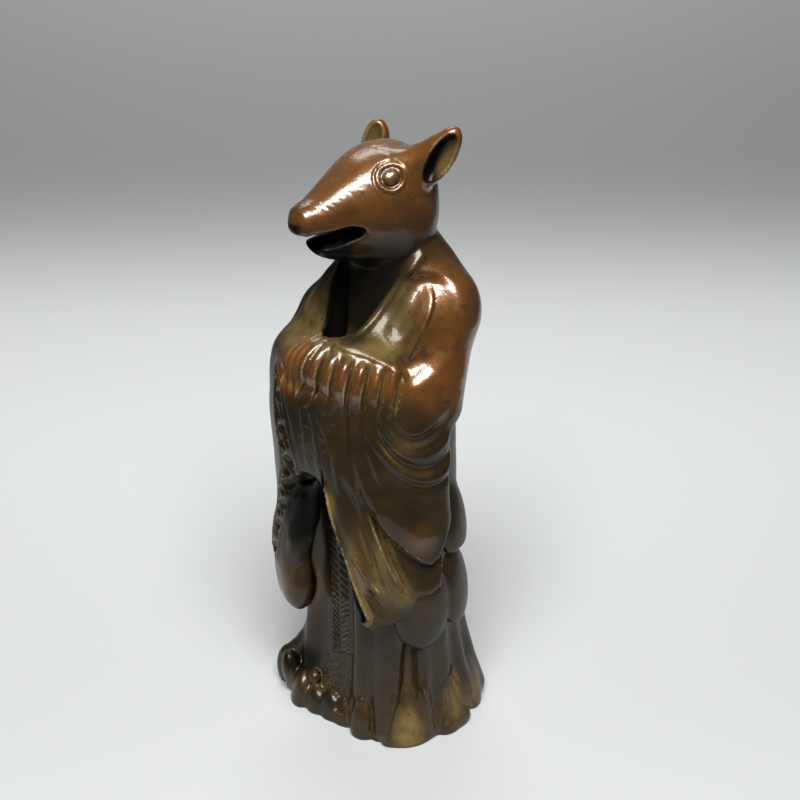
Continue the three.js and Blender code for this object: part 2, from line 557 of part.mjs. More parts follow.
// The surface of the figure, walked cell by cell. Corner order and table are those of marching cubes.
function surface(field, low, high, cell) {
  const n = [0, 1, 2].map((k) => Math.ceil((high[k] - low[k]) / cell));
  const [nx, ny, nz] = n.map((v) => v + 1);
  const value = new Float32Array(nx * ny * nz).fill(NaN);
  const index = (i, j, k) => i + nx * (j + ny * k);
  const read = (i, j, k) => {
    const q = index(i, j, k);
    let f = value[q];
    if (Number.isNaN(f)) {
      f = field(low[0] + i * cell, low[1] + j * cell, low[2] + k * cell);
      if (Math.abs(f) < 1e-4) f = 1e-4;
      value[q] = f;
    }
    return f;
  };
  // blocks whose middle is too far from the surface are passed over
  const block = 4;
  const reach = block * cell * 1.4 + 0.5;
  const positions = [];
  const faces = [];
  const made = new Map();
  const corner = [[0, 0, 0], [1, 0, 0], [1, 1, 0], [0, 1, 0], [0, 0, 1], [1, 0, 1], [1, 1, 1], [0, 1, 1]];
  const edge = [
    [0, 1], [1, 2], [2, 3], [3, 0], [4, 5], [5, 6], [6, 7], [7, 4], [0, 4], [1, 5], [2, 6], [3, 7]];
  for (let bk = 0; bk < n[2]; bk += block)
    for (let bj = 0; bj < n[1]; bj += block)
      for (let bi = 0; bi < n[0]; bi += block) {
        const mid = [bi, bj, bk].map((b, m) => low[m] + (b + block / 2) * cell);
        if (Math.abs(field(...mid)) > reach) continue;
        for (let k = bk; k < Math.min(bk + block, n[2]); k++)
          for (let j = bj; j < Math.min(bj + block, n[1]); j++)
            for (let i = bi; i < Math.min(bi + block, n[0]); i++) {
              const f = corner.map(([a, b, c]) => read(i + a, j + b, k + c));
              let code = 0;
              for (let m = 0; m < 8; m++) if (f[m] < 0) code |= 1 << m;
              if (code === 0 || code === 255) continue;
              for (let m = code * 16; triTable[m] !== -1; m += 3) {
                const tri = [];
                for (let e = 0; e < 3; e++) {
                  const [p, q] = edge[triTable[m + e]];
                  const [cp, cq] = [corner[p], corner[q]];
                  const ip = index(i + cp[0], j + cp[1], k + cp[2]);
                  const iq = index(i + cq[0], j + cq[1], k + cq[2]);
                  const along = [1, nx, nx * ny].indexOf(Math.abs(ip - iq));
                  const key = Math.min(ip, iq) * 3 + along;
                  let id = made.get(key);
                  if (id === undefined) {
                    const t = Math.min(Math.max(f[p] / (f[p] - f[q]), 0.02), 0.98);
                    id = positions.length / 3;
                    positions.push(
                      low[0] + (i + lerp(cp[0], cq[0], t)) * cell,
                      low[1] + (j + lerp(cp[1], cq[1], t)) * cell,
                      low[2] + (k + lerp(cp[2], cq[2], t)) * cell);
                    made.set(key, id);
                  }
                  tri.push(id);
                }
                faces.push(tri[0], tri[2], tri[1]);
              }
            }
      }
  return { positions: Float64Array.from(positions), faces: Uint32Array.from(faces) };
}

// Edge collapses, cheapest first, until few enough faces are left. Each collapse keeps the mesh closed:
// its ends share just two neighbours, and no face turns over.
function thin(mesh, target) {
  const xyz = Array.from(mesh.positions);
  const tri = Array.from(mesh.faces);
  const total = xyz.length / 3;
  const quadric = new Float64Array(total * 10);
  const around = Array.from({ length: total }, () => new Set());
  const alive = new Uint8Array(tri.length / 3).fill(1);
  const point = (v) => [xyz[v * 3], xyz[v * 3 + 1], xyz[v * 3 + 2]];
  const cross = (a, b, c) => {
    const [ux, uy, uz] = [b[0] - a[0], b[1] - a[1], b[2] - a[2]];
    const [vx, vy, vz] = [c[0] - a[0], c[1] - a[1], c[2] - a[2]];
    return [uy * vz - uz * vy, uz * vx - ux * vz, ux * vy - uy * vx];
  };
  for (let f = 0; f < alive.length; f++) {
    const [a, b, c] = [tri[f * 3], tri[f * 3 + 1], tri[f * 3 + 2]];
    const n = cross(point(a), point(b), point(c));
    const size = Math.hypot(...n) || 1e-12;
    const [nx, ny, nz] = n.map((v) => v / size);
    const d = -(nx * xyz[a * 3] + ny * xyz[a * 3 + 1] + nz * xyz[a * 3 + 2]);
    const q = [nx * nx, nx * ny, nx * nz, nx * d, ny * ny, ny * nz, ny * d, nz * nz, nz * d, d * d];
    for (const v of [a, b, c]) {
      for (let k = 0; k < 10; k++) quadric[v * 10 + k] += q[k] * size;
      around[v].add(f);
    }
  }
  const error = (q, p) => {
    const [x, y, z] = p;
    return q[0] * x * x + 2 * q[1] * x * y + 2 * q[2] * x * z + 2 * q[3] * x + q[4] * y * y
      + 2 * q[5] * y * z + 2 * q[6] * y + q[7] * z * z + 2 * q[8] * z + q[9];
  };
  const sum = new Float64Array(10);
  const best = (u, v) => {
    for (let k = 0; k < 10; k++) sum[k] = quadric[u * 10 + k] + quadric[v * 10 + k];
    const [a, b, c, d, e, f] = [sum[0], sum[1], sum[2], sum[4], sum[5], sum[7]];
    const det = a * (d * f - e * e) - b * (b * f - e * c) + c * (b * e - d * c);
    const [pu, pv] = [point(u), point(v)];
    const reach = Math.hypot(pu[0] - pv[0], pu[1] - pv[1], pu[2] - pv[2]);
    const mid = [0, 1, 2].map((k) => (pu[k] + pv[k]) / 2);
    let choice = mid;
    let cost = error(sum, mid);
    for (const p of [pu, pv]) {
      const value = error(sum, p);
      if (value < cost) [choice, cost] = [p, value];
    }
    if (Math.abs(det) > 1e-4 * (a + d + f) ** 3) {
      const [x, y, z] = [-sum[3], -sum[6], -sum[8]];
      const p = [
        (x * (d * f - e * e) + b * (e * z - y * f) + c * (y * e - d * z)) / det,
        (a * (y * f - e * z) + x * (e * c - b * f) + c * (b * z - y * c)) / det,
        (a * (d * z - y * e) + b * (y * c - b * z) + x * (b * e - d * c)) / det];
      const off = Math.hypot(p[0] - mid[0], p[1] - mid[1], p[2] - mid[2]);
      if (off < reach) [choice, cost] = [p, error(sum, p)];
    }
    return [Math.max(cost, 0) + 1e-7 * reach * reach, choice];
  };
  const stamp = new Uint32Array(total);
  const heap = [];
  const push = (item) => {
    let i = heap.push(item) - 1;
    while (i > 0) {
      const up = (i - 1) >> 1;
      if (heap[up][0] <= heap[i][0]) break;
      [heap[up], heap[i]] = [heap[i], heap[up]];
      i = up;
    }
  };
  const pop = () => {
    const top = heap[0];
    const last = heap.pop();
    if (heap.length) {
      heap[0] = last;
      let i = 0;
      for (;;) {
        let low = i;
        const [l, r] = [2 * i + 1, 2 * i + 2];
        if (l < heap.length && heap[l][0] < heap[low][0]) low = l;
        if (r < heap.length && heap[r][0] < heap[low][0]) low = r;
        if (low === i) break;
        [heap[low], heap[i]] = [heap[i], heap[low]];
        i = low;
      }
    }
    return top;
  };
  const neighbours = (v) => {
    const set = new Set();
    for (const f of around[v]) {
      for (let k = 0; k < 3; k++) if (tri[f * 3 + k] !== v) set.add(tri[f * 3 + k]);
    }
    return set;
  };
  const offer = (u, v) => {
    const [cost, p] = best(u, v);
    push([cost, u, v, stamp[u], stamp[v], p]);
  };
  for (let v = 0; v < total; v++) for (const w of neighbours(v)) if (v < w) offer(v, w);
  let left = alive.length;
  while (left > target && heap.length) {
    const [, u, v, su, sv, p] = pop();
    if (stamp[u] !== su || stamp[v] !== sv) continue;
    const [nu, nv] = [neighbours(u), neighbours(v)];
    const shared = [...nu].filter((w) => nv.has(w));
    if (shared.length !== 2) continue;
    const gone = [...around[u]].filter((f) => around[v].has(f));
    if (gone.length !== 2) continue;
    let turns = false;
    for (const [end, set] of [[u, around[u]], [v, around[v]]]) {
      for (const f of set) {
        if (gone.includes(f)) continue;
        const before = [0, 1, 2].map((k) => point(tri[f * 3 + k]));
        const after = [0, 1, 2].map((k) => (tri[f * 3 + k] === end ? p : before[k]));
        const n0 = cross(...before);
        const n1 = cross(...after);
        const [l0, l1] = [Math.hypot(...n0), Math.hypot(...n1)];
        const facing = n0[0] * n1[0] + n0[1] * n1[1] + n0[2] * n1[2];
        if (l1 < 1e-5 || facing < 0.25 * l0 * l1) turns = true;
      }
    }
    if (turns) continue;
    for (const f of gone) {
      alive[f] = 0;
      for (let k = 0; k < 3; k++) around[tri[f * 3 + k]].delete(f);
    }
    for (const f of around[v]) {
      for (let k = 0; k < 3; k++) if (tri[f * 3 + k] === v) tri[f * 3 + k] = u;
      around[u].add(f);
    }
    around[v].clear();
    for (let k = 0; k < 10; k++) quadric[u * 10 + k] += quadric[v * 10 + k];
    for (let k = 0; k < 3; k++) xyz[u * 3 + k] = p[k];
    stamp[u]++;
    stamp[v]++;
    left -= 2;
    for (const w of neighbours(u)) offer(u, w);
  }

  const renumber = new Map();
  const positions = [];
  const faces = [];
  for (let f = 0; f < alive.length; f++) {
    if (!alive[f]) continue;
    for (let k = 0; k < 3; k++) {
      const v = tri[f * 3 + k];
      if (!renumber.has(v)) {
        renumber.set(v, positions.length / 3);
        positions.push(...point(v));
      }
      faces.push(renumber.get(v));
    }
  }
  return { positions, faces };
}

const wasm = await Module();
wasm.setup();
const solid = (positions, faces) => new wasm.Manifold(new wasm.Mesh({
  numProp: 3,
  vertProperties: Float32Array.from(positions),
  triVerts: Uint32Array.from(faces),
}));
function boxSolid(size, centre) {
  const box = new THREE.BoxGeometry(...size).translate(...centre);
  box.deleteAttribute('normal');
  box.deleteAttribute('uv');
  const merged = mergeVertices(box);
  return solid(merged.attributes.position.array, merged.index.array);
}

// The form is walked a little past its reach on every side, then cut flat where it stands.
const LOW = [-22, -18, -5];
const HIGH = [22, 20, 104];
const walked = surface(figure, LOW, HIGH, CELL);
const ground = boxSolid([60, 60, 20], [0, 0, -10]);
const cut = solid(walked.positions, walked.faces).subtract(ground).getMesh();
const mesh = thin({ positions: cut.vertProperties, faces: cut.triVerts }, FACES);

const geometry = new THREE.BufferGeometry();
geometry.setAttribute('position', new THREE.Float32BufferAttribute(mesh.positions, 3));
geometry.setIndex(mesh.faces);
geometry.computeBoundingBox();
// the origin is under the middle of the outline, and the higher ear's tip is at the full height
const middle = geometry.boundingBox.getCenter(new THREE.Vector3());
const scale = HEIGHT / geometry.boundingBox.max.z;
geometry.translate(-middle.x, -middle.y, 0);
geometry.scale(scale, scale, scale);
const bronze = new THREE.MeshStandardMaterial({ color: 0x6f5238, roughness: 0.38, metalness: 0.85 });
const piece = new THREE.Mesh(geometry, bronze);
piece.name = 'figure';
const group = new THREE.Group();
group.add(piece);
export default group;
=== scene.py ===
"""Looks of a small cast bronze figure: its fine surface and carving, patina, ground, light and camera."""

import math

import bpy
import numpy as np
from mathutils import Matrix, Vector


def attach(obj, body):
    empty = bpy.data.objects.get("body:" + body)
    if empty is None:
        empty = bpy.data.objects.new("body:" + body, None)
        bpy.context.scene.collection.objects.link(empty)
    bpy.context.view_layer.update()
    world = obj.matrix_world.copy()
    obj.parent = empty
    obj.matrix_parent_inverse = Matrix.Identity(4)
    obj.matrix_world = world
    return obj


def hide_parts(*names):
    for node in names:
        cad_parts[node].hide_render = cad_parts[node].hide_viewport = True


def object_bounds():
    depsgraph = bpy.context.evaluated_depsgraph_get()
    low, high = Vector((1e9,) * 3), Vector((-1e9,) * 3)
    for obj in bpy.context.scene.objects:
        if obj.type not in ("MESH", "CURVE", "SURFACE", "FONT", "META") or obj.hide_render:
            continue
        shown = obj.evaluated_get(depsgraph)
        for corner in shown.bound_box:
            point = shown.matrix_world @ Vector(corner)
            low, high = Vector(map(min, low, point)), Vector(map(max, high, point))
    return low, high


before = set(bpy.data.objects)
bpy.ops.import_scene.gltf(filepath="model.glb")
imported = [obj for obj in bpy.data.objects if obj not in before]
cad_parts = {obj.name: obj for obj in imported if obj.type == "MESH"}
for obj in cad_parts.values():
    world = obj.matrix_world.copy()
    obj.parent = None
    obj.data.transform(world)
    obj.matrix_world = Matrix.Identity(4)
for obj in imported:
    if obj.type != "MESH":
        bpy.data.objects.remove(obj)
cad_low, cad_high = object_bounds()

# The form is in hundredths of the figure's height: its left is +X, its front is -Y, the ground is z = 0
FLOAT = np.float32
# where the body's axis stands, the fine surface's step, and the faces that are kept of it
AXIS_Y = 1.5
CELL = 0.30
FACES = 196000


# Blends
def smin(a, b, k):
    h = np.maximum(k - np.abs(a - b), 0) / k
    return np.minimum(a, b) - h * h * k * 0.25


def smax(a, b, k):
    return -smin(-a, -b, k)


def clamp01(t):
    return np.clip(t, 0, 1)


def ease(t):
    return t * t * (3 - 2 * t)


def lerp(a, b, t):
    return a + (b - a) * t


def band(value, low, high, soft):
    """1 between low and high, 0 outside, with soft ends"""
    return ease(clamp01((value - low) / soft + 0.5)) * ease(clamp01((high - value) / soft + 0.5))


def bump(value, middle, half):
    """A round ridge, 1 at the middle and 0 beyond half"""
    return np.maximum(0, 1 - ((value - middle) / half) ** 2) ** 2


# Shapes: each is a function of x, y, z that gives the distance to its surface, less than 0 inside
def bar(a, b, ra, rb):
    """A tapered round bar between two points"""
    ax, ay, az = a
    dx, dy, dz = (b[k] - a[k] for k in range(3))
    len2 = dx * dx + dy * dy + dz * dz

    def shape(x, y, z):
        px, py, pz = x - ax, y - ay, z - az
        t = clamp01((px * dx + py * dy + pz * dz) / len2)
        return np.sqrt((px - dx * t) ** 2 + (py - dy * t) ** 2 + (pz - dz * t) ** 2) - lerp(ra, rb, t)

    return shape


def egg(c, r, turn=0, lean=0, tip=0):
    """An egg with three half axes: turned about Z, leaned about its first axis, tipped about its second"""
    ct, st = math.cos(math.radians(turn)), math.sin(math.radians(turn))
    cl, sl = math.cos(math.radians(lean)), math.sin(math.radians(lean))
    cp, sp = math.cos(math.radians(tip)), math.sin(math.radians(tip))

    def shape(x, y, z):
        px, py, pz = x - c[0], y - c[1], z - c[2]
        u = px * ct + py * st
        v0 = -px * st + py * ct
        v = v0 * cl - pz * sl
        w0 = v0 * sl + pz * cl
        uu = u * cp - w0 * sp
        w = u * sp + w0 * cp
        k0 = np.sqrt((uu / r[0]) ** 2 + (v / r[1]) ** 2 + (w / r[2]) ** 2)
        k1 = np.sqrt((uu / r[0] ** 2) ** 2 + (v / r[1] ** 2) ** 2 + (w / r[2] ** 2) ** 2)
        return k0 * (k0 - 1) / np.maximum(k1, 1e-6)

    return shape


def place(az, rho, z):
    """Places round the body: azimuth from the front toward its left, distance from the axis, height"""
    a = math.radians(az)
    return (rho * math.sin(a), AXIS_Y - rho * math.cos(a), z)


def petal(az, rho, z, wide, thick, high, lean=0):
    """An egg that faces outward at a place round the body"""
    return egg(place(az, rho, z), (wide, thick, high), az, lean)


def bend(points, t):
    """A point of the curve that starts at the first, is drawn to the second and ends at the third"""
    a, b, c = (1 - t) ** 2, 2 * t * (1 - t), t * t
    return [points[0][j] * a + points[1][j] * b + points[2][j] * c for j in range(len(points[0]))]


def rib(rows):
    """A round rib along a bent path of places: rows of azimuth, distance, height and radius"""
    pieces = 6
    line = [bend(rows, i / pieces) for i in range(pieces + 1)]
    bars = [bar(place(*p[:3]), place(*q[:3]), p[3], q[3]) for p, q in zip(line, line[1:])]

    def shape(x, y, z):
        d = bars[0](x, y, z)
        for part in bars[1:]:
            d = np.minimum(d, part(x, y, z))
        return d

    return shape


def stack(rows, power, round_off):
    """A stack of turned ovals along an axis: rows of place, centre u, centre v, half u, half v, turn"""
    rows = np.array(rows, float)
    low, high = rows[0, 0], rows[-1, 0]
    steps = 96
    table = []
    for i in range(steps + 1):
        w = low + (high - low) * i / steps
        k = min(int(np.searchsorted(rows[1:, 0], w)), len(rows) - 2)
        p0, p1, p2, p3 = rows[max(k - 1, 0)], rows[k], rows[k + 1], rows[min(k + 2, len(rows) - 1)]
        span = p2[0] - p1[0]
        t = (w - p1[0]) / span
        m1 = (p2 - p0)[1:] / (p2[0] - p0[0]) * span
        m2 = (p3 - p1)[1:] / (p3[0] - p1[0]) * span
        ends = (2 * t**3 - 3 * t**2 + 1) * p1[1:] + (3 * t**2 - 2 * t**3) * p2[1:]
        table.append(ends + (t**3 - 2 * t**2 + t) * m1 + (t**3 - t**2) * m2)
    table = np.array(table, FLOAT)

    def shape(u, v, w):
        at = clamp01((w - low) / (high - low)) * steps
        i = np.minimum(at.astype(int), steps - 1)
        t = (at - i)[..., None]
        row = lerp(table[i], table[i + 1], t)
        a, b = np.maximum(row[..., 2], 0.05), np.maximum(row[..., 3], 0.05)
        turn = np.radians(row[..., 4])
        c, s = np.cos(turn), np.sin(turn)
        du, dv = u - row[..., 0], v - row[..., 1]
        pu = np.abs(du * c + dv * s) / a
        pv = np.abs(-du * s + dv * c) / b
        q = (pu**power + pv**power) ** (1 / power)
        safe = np.maximum(q, 0.3)
        g = safe ** (1 - power) * np.hypot(pu ** (power - 1) / a, pv ** (power - 1) / b)
        d = np.where(q < 0.35, (q - 1) * np.minimum(a, b), (q - 1) / np.maximum(g, 1e-6))
        return smax(d, np.maximum(low - w, w - high), round_off)

    return shape


# Folds are drawn on the unrolled surface: degrees round the body's axis and height
def fold(points, width, depth, taper=0.25):
    """A groove or ridge through three places, given as azimuth and height: its start, bend and end"""
    pieces = 10
    line = [bend(points, i / pieces) for i in range(pieces + 1)]
    azs, zs = [p[0] for p in line], [p[1] for p in line]

    def value(az, rho, z):
        out = np.zeros_like(z)
        margin = np.degrees(width / rho)
        near = (z > min(zs) - width) & (z < max(zs) + width)
        near &= (az > min(azs) - margin) & (az < max(azs) + margin)
        if not near.any():
            return out
        a, r, h = az[near], rho[near], z[near]
        k = np.radians(r)
        best = np.full_like(h, width)
        where = np.zeros_like(h)
        for i in range(pieces):
            ax, ay = (azs[i] - a) * k, zs[i] - h
            dx, dy = (azs[i + 1] - azs[i]) * k, zs[i + 1] - zs[i]
            t = clamp01(-(ax * dx + ay * dy) / (dx * dx + dy * dy + 1e-9))
            dist = np.hypot(ax + dx * t, ay + dy * t)
            closer = dist < best
            best = np.where(closer, dist, best)
            where = np.where(closer, (i + t) / pieces, where)
        s = best / width
        end = ease(clamp01(np.minimum(where, 1 - where) / taper))
        out[near] = depth * (1 - s * s) ** 2 * end
        return out

    return value


def fan(count, first, last, width, depth, taper=0.25):
    """Folds that turn step by step from the first one's line to the last one's"""
    folds = []
    for i in range(count):
        t = i / (count - 1)
        points = [[lerp(p[0], q[0], t), lerp(p[1], q[1], t)] for p, q in zip(first, last)]
        folds.append(fold(points, width, depth, taper))
    return folds


def ledge(line, drop, reach, taper=0.2, soft=0.8):
    """A step down beyond a line of places, on its right when looking along it. It levels out within reach"""
    def value(az, rho, z):
        out = np.zeros_like(z)
        margin = np.degrees(reach / rho)
        azs, zs = [p[0] for p in line], [p[1] for p in line]
        near = (z > min(zs) - reach) & (z < max(zs) + reach)
        near &= (az > min(azs) - margin) & (az < max(azs) + margin)
        if not near.any():
            return out
        a, r, h = az[near], rho[near], z[near]
        k = np.radians(r)
        best = np.full_like(h, reach)
        side = np.zeros_like(h)
        where = np.zeros_like(h)
        count = len(line) - 1
        for i, (p, q) in enumerate(zip(line, line[1:])):
            ax, ay = (a - p[0]) * k, h - p[1]
            dx, dy = (q[0] - p[0]) * k, q[1] - p[1]
            t = clamp01((ax * dx + ay * dy) / (dx * dx + dy * dy + 1e-9))
            dist = np.hypot(ax - dx * t, ay - dy * t)
            closer = dist < best
            best = np.where(closer, dist, best)
            side = np.where(closer, np.sign(ax * dy - ay * dx), side)
            where = np.where(closer, (i + t) / count, where)
        step = ease(clamp01(side * best / soft + 0.5)) * (1 - best / reach) ** 1.5
        out[near] = -drop * step * ease(clamp01(np.minimum(where, 1 - where) / taper))
        return out

    return value


def around(x, y):
    """Azimuth from the front toward the figure's left, in degrees"""
    return np.degrees(np.arctan2(x, AXIS_Y - y))


def draped(shape, folds):
    """The shape with its folds raised or sunk near its skin"""
    # how far from the skin they are worked out, and the least distance from the axis that they are drawn at
    reach, least_rho = 3, 3

    def cloth(x, y, z):
        d = shape(x, y, z)
        near = np.abs(d) < reach
        if near.any():
            px, py, pz = x[near], y[near], z[near]
            az = around(px, py)
            rho = np.maximum(np.hypot(px, py - AXIS_Y), least_rho)
            d[near] -= sum(f(az, rho, pz) for f in folds)
        return d

    return cloth


# Sash and fringe on the front of the robe
SASH = {"half": 2.3, "low": 12.2, "high": 46, "change": 23, "ladder": 1.4, "chevron": 0.97}
FRINGE = {"from": -37, "to": 4, "low": 3.2, "high": 10.2, "pitch": 3.3}


def sash_plate(az, rho, z):
    """A woven sash down the front: slanted stitches above, chevrons below, a fringe at its end"""
    off = (az + 9 + 0.2 * z) * np.radians(rho)
    inside = band(np.abs(off), -9, SASH["half"], 0.4) * band(z - 0.35 * off, SASH["low"], SASH["high"], 0.5)
    ladder = np.cos((z + 0.45 * off) / SASH["ladder"] * 2 * math.pi)
    chevron = np.cos((z - 0.9 * np.abs(off)) / SASH["chevron"] * 2 * math.pi)
    rows = np.where(z > SASH["change"], ladder, chevron) * band(np.abs(off), 0.25, SASH["half"] - 0.4, 0.3)
    fringe = np.cos(az / FRINGE["pitch"] * 2 * math.pi)
    fringe *= band(az, FRINGE["from"], FRINGE["to"], 3) * band(z, FRINGE["low"], FRINGE["high"], 1.5)
    return inside * (0.38 + 0.2 * rows) + 0.13 * fringe


# Robe skirt from the ground to the chest
skirt_core = draped(stack([
    [-5, -0.4, 0.8, 15.8, 10.8, 0],
    [2, -0.2, 0.8, 14.8, 10.2, 0],
    [6, 0.2, 1.2, 13.0, 9.4, 0],
    [11, 0.4, 1.4, 11.6, 9.0, 0],
    [18, 0.5, 1.5, 11.0, 8.8, 0],
    [30, 0.4, 1.6, 10.8, 8.8, 0],
    [45, 0.2, 1.8, 11.0, 9.0, 0],
    [60, 0, 2.2, 10.0, 8.2, 0],
    [72, 0, 2.8, 9.0, 7.0, 0],
    [80, 0, 3.2, 6.0, 5.6, 0],
], 2.6, 2), [sash_plate])

# Flutes of the skirt: each rib runs down and flares to the hem
flutes = [
    rib([[-50, 9.8, 42, 1.5], [-52, 10.4, 20, 1.8], [-50, 12.6, 4, 1.8]]),
    rib([[-66, 10.0, 24, 1.4], [-66, 10.2, 11, 1.6], [-62, 16.2, 6, 1.5]]),
    rib([[14, 8.4, 42, 1.4], [18, 9.0, 18, 1.6], [17, 10.6, 2, 2.0]]),
    rib([[36, 8.8, 42, 1.4], [43, 10.0, 18, 1.8], [34, 12.2, 3, 1.6]]),
    rib([[48, 10.4, 40, 0.9], [51, 10.4, 14, 1.1], [38, 13.6, 2.2, 1.4]]),
    rib([[70, 10.6, 40, 0.9], [69, 10.9, 16, 1.3], [64, 14.0, 2, 1.3]]),
    rib([[83, 9.8, 40, 1.6], [85, 10.4, 18, 2.0], [84, 12.6, 3, 2.4]]),
    rib([[102, 9.8, 40, 1.5], [103, 9.4, 18, 2.0], [104, 14.0, 4, 2.0]]),
    rib([[124, 9.0, 40, 1.6], [124, 9.2, 18, 2.2], [126, 14.2, 2, 2.8]]),
]
for az in np.linspace(146, 214, 5):
    flutes.append(rib([[az, 8.0, 44, 1.4], [az, 8.6, 18, 2.0], [az, 10.4, 1, 2.4]]))
for az in np.linspace(-76, -126, 4):
    flutes.append(rib([[az, 9.2, 42, 1.4], [az, 9.6, 18, 2.0], [az, 13.4, 1, 2.4]]))

hem = [
    # flared end of the channel between two ribs with its rim, and the toe and knob beside it
    petal(54, 13.2, 4.2, 3.2, 1.3, 6.2, 24),
    petal(52, 14.1, 0.7, 4.3, 1.8, 1.6),
    petal(21, 11.8, 2.0, 2.5, 2.2, 4.6, 10),
    petal(33, 12.8, 1.6, 1.2, 1.2, 4.6, 6),
    petal(87, 13.6, 3.4, 3.9, 1.7, 5.6, 22),
    petal(82, 15.0, 0.9, 2.2, 1.4, 1.6),
    petal(93, 15.2, 0.9, 2.2, 1.4, 1.6),
    petal(114, 14.2, 4.0, 3.0, 2.0, 6.0, 14),
    petal(140, 13.0, 1.2, 3.4, 2.6, 5.0),
    # scrolled toe at the right, with small knobs of the hem beside it
    petal(-55, 15.9, 3.6, 2.2, 1.7, 4.0, -8),
    petal(-62, 17.2, 3.2, 1.6, 1.7, 3.8),
    petal(-66, 14.2, 2.0, 3.4, 3.0, 5.0),
    petal(-46, 13.6, 4.4, 1.4, 1.3, 1.5),
    petal(-37, 12.3, 5.2, 1.3, 1.2, 1.3),
    petal(-96, 13.6, 1.2, 4.0, 2.4, 4.4),
    petal(-124, 14.4, 1.2, 3.2, 2.6, 5.0),
]
# ruffled hem along the straight front, and round the back
FRONT = 10.8
for az, high in ((-42, 4.4), (-31, 3.4), (-17, 3.7), (-2, 3.2)):
    hem.append(petal(az, FRONT / math.cos(math.radians(az)), 0.9, 2.5, 1.7, high, 6))
for az in np.linspace(158, 218, 5):
    hem.append(petal(az, 11.4, 1.0, 2.8, 2.0, 4.2))

# Outer robe: lobes that step down its open edge behind the left sleeve, and the flap under the sleeve
edge_lobes = [
    petal(104, 8.6, 47, 3.4, 2.6, 7.4),
    petal(101, 11.3, 38, 4.4, 1.9, 7.4, 14),
    petal(102, 11.9, 25.4, 4.4, 2.0, 7.4, 10),
]
# height of each lobe's lower edge, where it is cut straight
LOBE_ENDS = [None, 32.6, 18.4]
flap = petal(67, 11.9, 24.4, 5.0, 2.2, 8.2, 4)

chest = stack([
    [50, 0, 1.6, 10.2, 8.8, 0],
    [60, 0, 1.8, 10.6, 9.0, 0],
    [68, 0, 2.2, 10.8, 8.6, 0],
    [74, 0, 2.8, 10.4, 7.6, 0],
    [79, 0.6, 3.4, 8.6, 6.4, 0],
    [84, 0.8, 3.4, 6.2, 5.4, 0],
], 2.2, 2)
# Shoulders, arms and the left side of the breast
left_shoulder = bar([7.4, 4.0, 72.8], [3.8, 4.8, 75.0], 7.0, 7.1)
right_shoulder = bar([-8.0, 2.2, 67.6], [-1, 3.2, 72.8], 5.9, 6.0)
left_arm = bar([7.8, 3.0, 70.5], [9.4, 0.6, 58.5], 6.6, 5.0)
right_arm = bar([-8.8, 1.4, 67.0], [-12.0, -3.0, 60], 5.6, 4.9)
left_breast = bar(place(14, 6.4, 69), place(52, 7.2, 67.6), 4.4, 4.5)
left_forearm = bar([9.4, 0.0, 60.2], [1.0, -8.4, 64], 4.9, 4.8)
right_forearm = bar([-11.4, -3.8, 61.4], [-3, -8.6, 64.2], 4.9, 4.7)

# Sleeves: long ovals that hang from the forearms
left_sleeve = stack([
    [19.5, 6.6, -9.4, 1.0, 0.9, 43],
    [22.5, 7.7, -8.5, 4.1, 1.8, 43],
    [28, 9.2, -6.8, 7.3, 2.4, 43],
    [35, 8.6, -6.2, 8.4, 3.2, 43],
    [45, 6.4, -6.2, 9.6, 4.2, 43],
    [57, 6.0, -5.0, 9.0, 5.0, 42],
    [66, 5.0, -5.0, 7.0, 4.0, 42],
], 2.4, 2.5)
right_sleeve = stack([
    [18, -12.0, -7.2, 2.4, 1.8, -30],
    [22, -12.4, -7.0, 3.8, 2.6, -32],
    [30, -12.6, -6.6, 5.0, 3.0, -36],
    [38, -11.2, -6.6, 5.6, 3.2, -38],
    [46, -10.4, -6.8, 6.6, 3.8, -38],
    [57, -9.6, -6.6, 7.6, 4.8, -38],
    [66, -7.6, -6.2, 7.2, 4.2, -38],
], 2.4, 2.5)
left_mouth = bar([-0.4, -9.8, 42], [6.0, -8.6, 21.5], 1.0, 1.4)
left_slot = bar(place(15.6, 14.2, 30), place(21.4, 14.4, 25), 0.8, 1.25)
right_mouth = bar(place(-16, 13.6, 44.6), place(-31, 12.4, 25), 2.7, 2.4)
right_toe = petal(-46, 13.6, 22.6, 2.9, 2.1, 4.4, 8)
apron = stack([
    [46.2, -2.6, -10.4, 4.8, 1.9, 0],
    [51, -2.8, -11.0, 5.6, 2.4, 0],
    [62, -3.0, -10.2, 6.0, 3.6, 0],
], 2.6, 1.5)

# Head, in its own frame: forward, its left, up
HEAD = {"at": (0.4, 1.6, 89), "heading": -17}
hc, hs = math.cos(math.radians(HEAD["heading"])), math.sin(math.radians(HEAD["heading"]))


def to_head(x, y, z):
    """Places seen from the head: forward, to its left and up"""
    px, py = x - HEAD["at"][0], y - HEAD["at"][1]
    return px * hs - py * hc, px * hc + py * hs, z - HEAD["at"][2]


def on_head(t, v, w):
    """The place that is so far forward, left and up in the head's frame"""
    x, y, z = HEAD["at"]
    return (x + t * hs + v * hc, y - t * hc + v * hs, z + w)


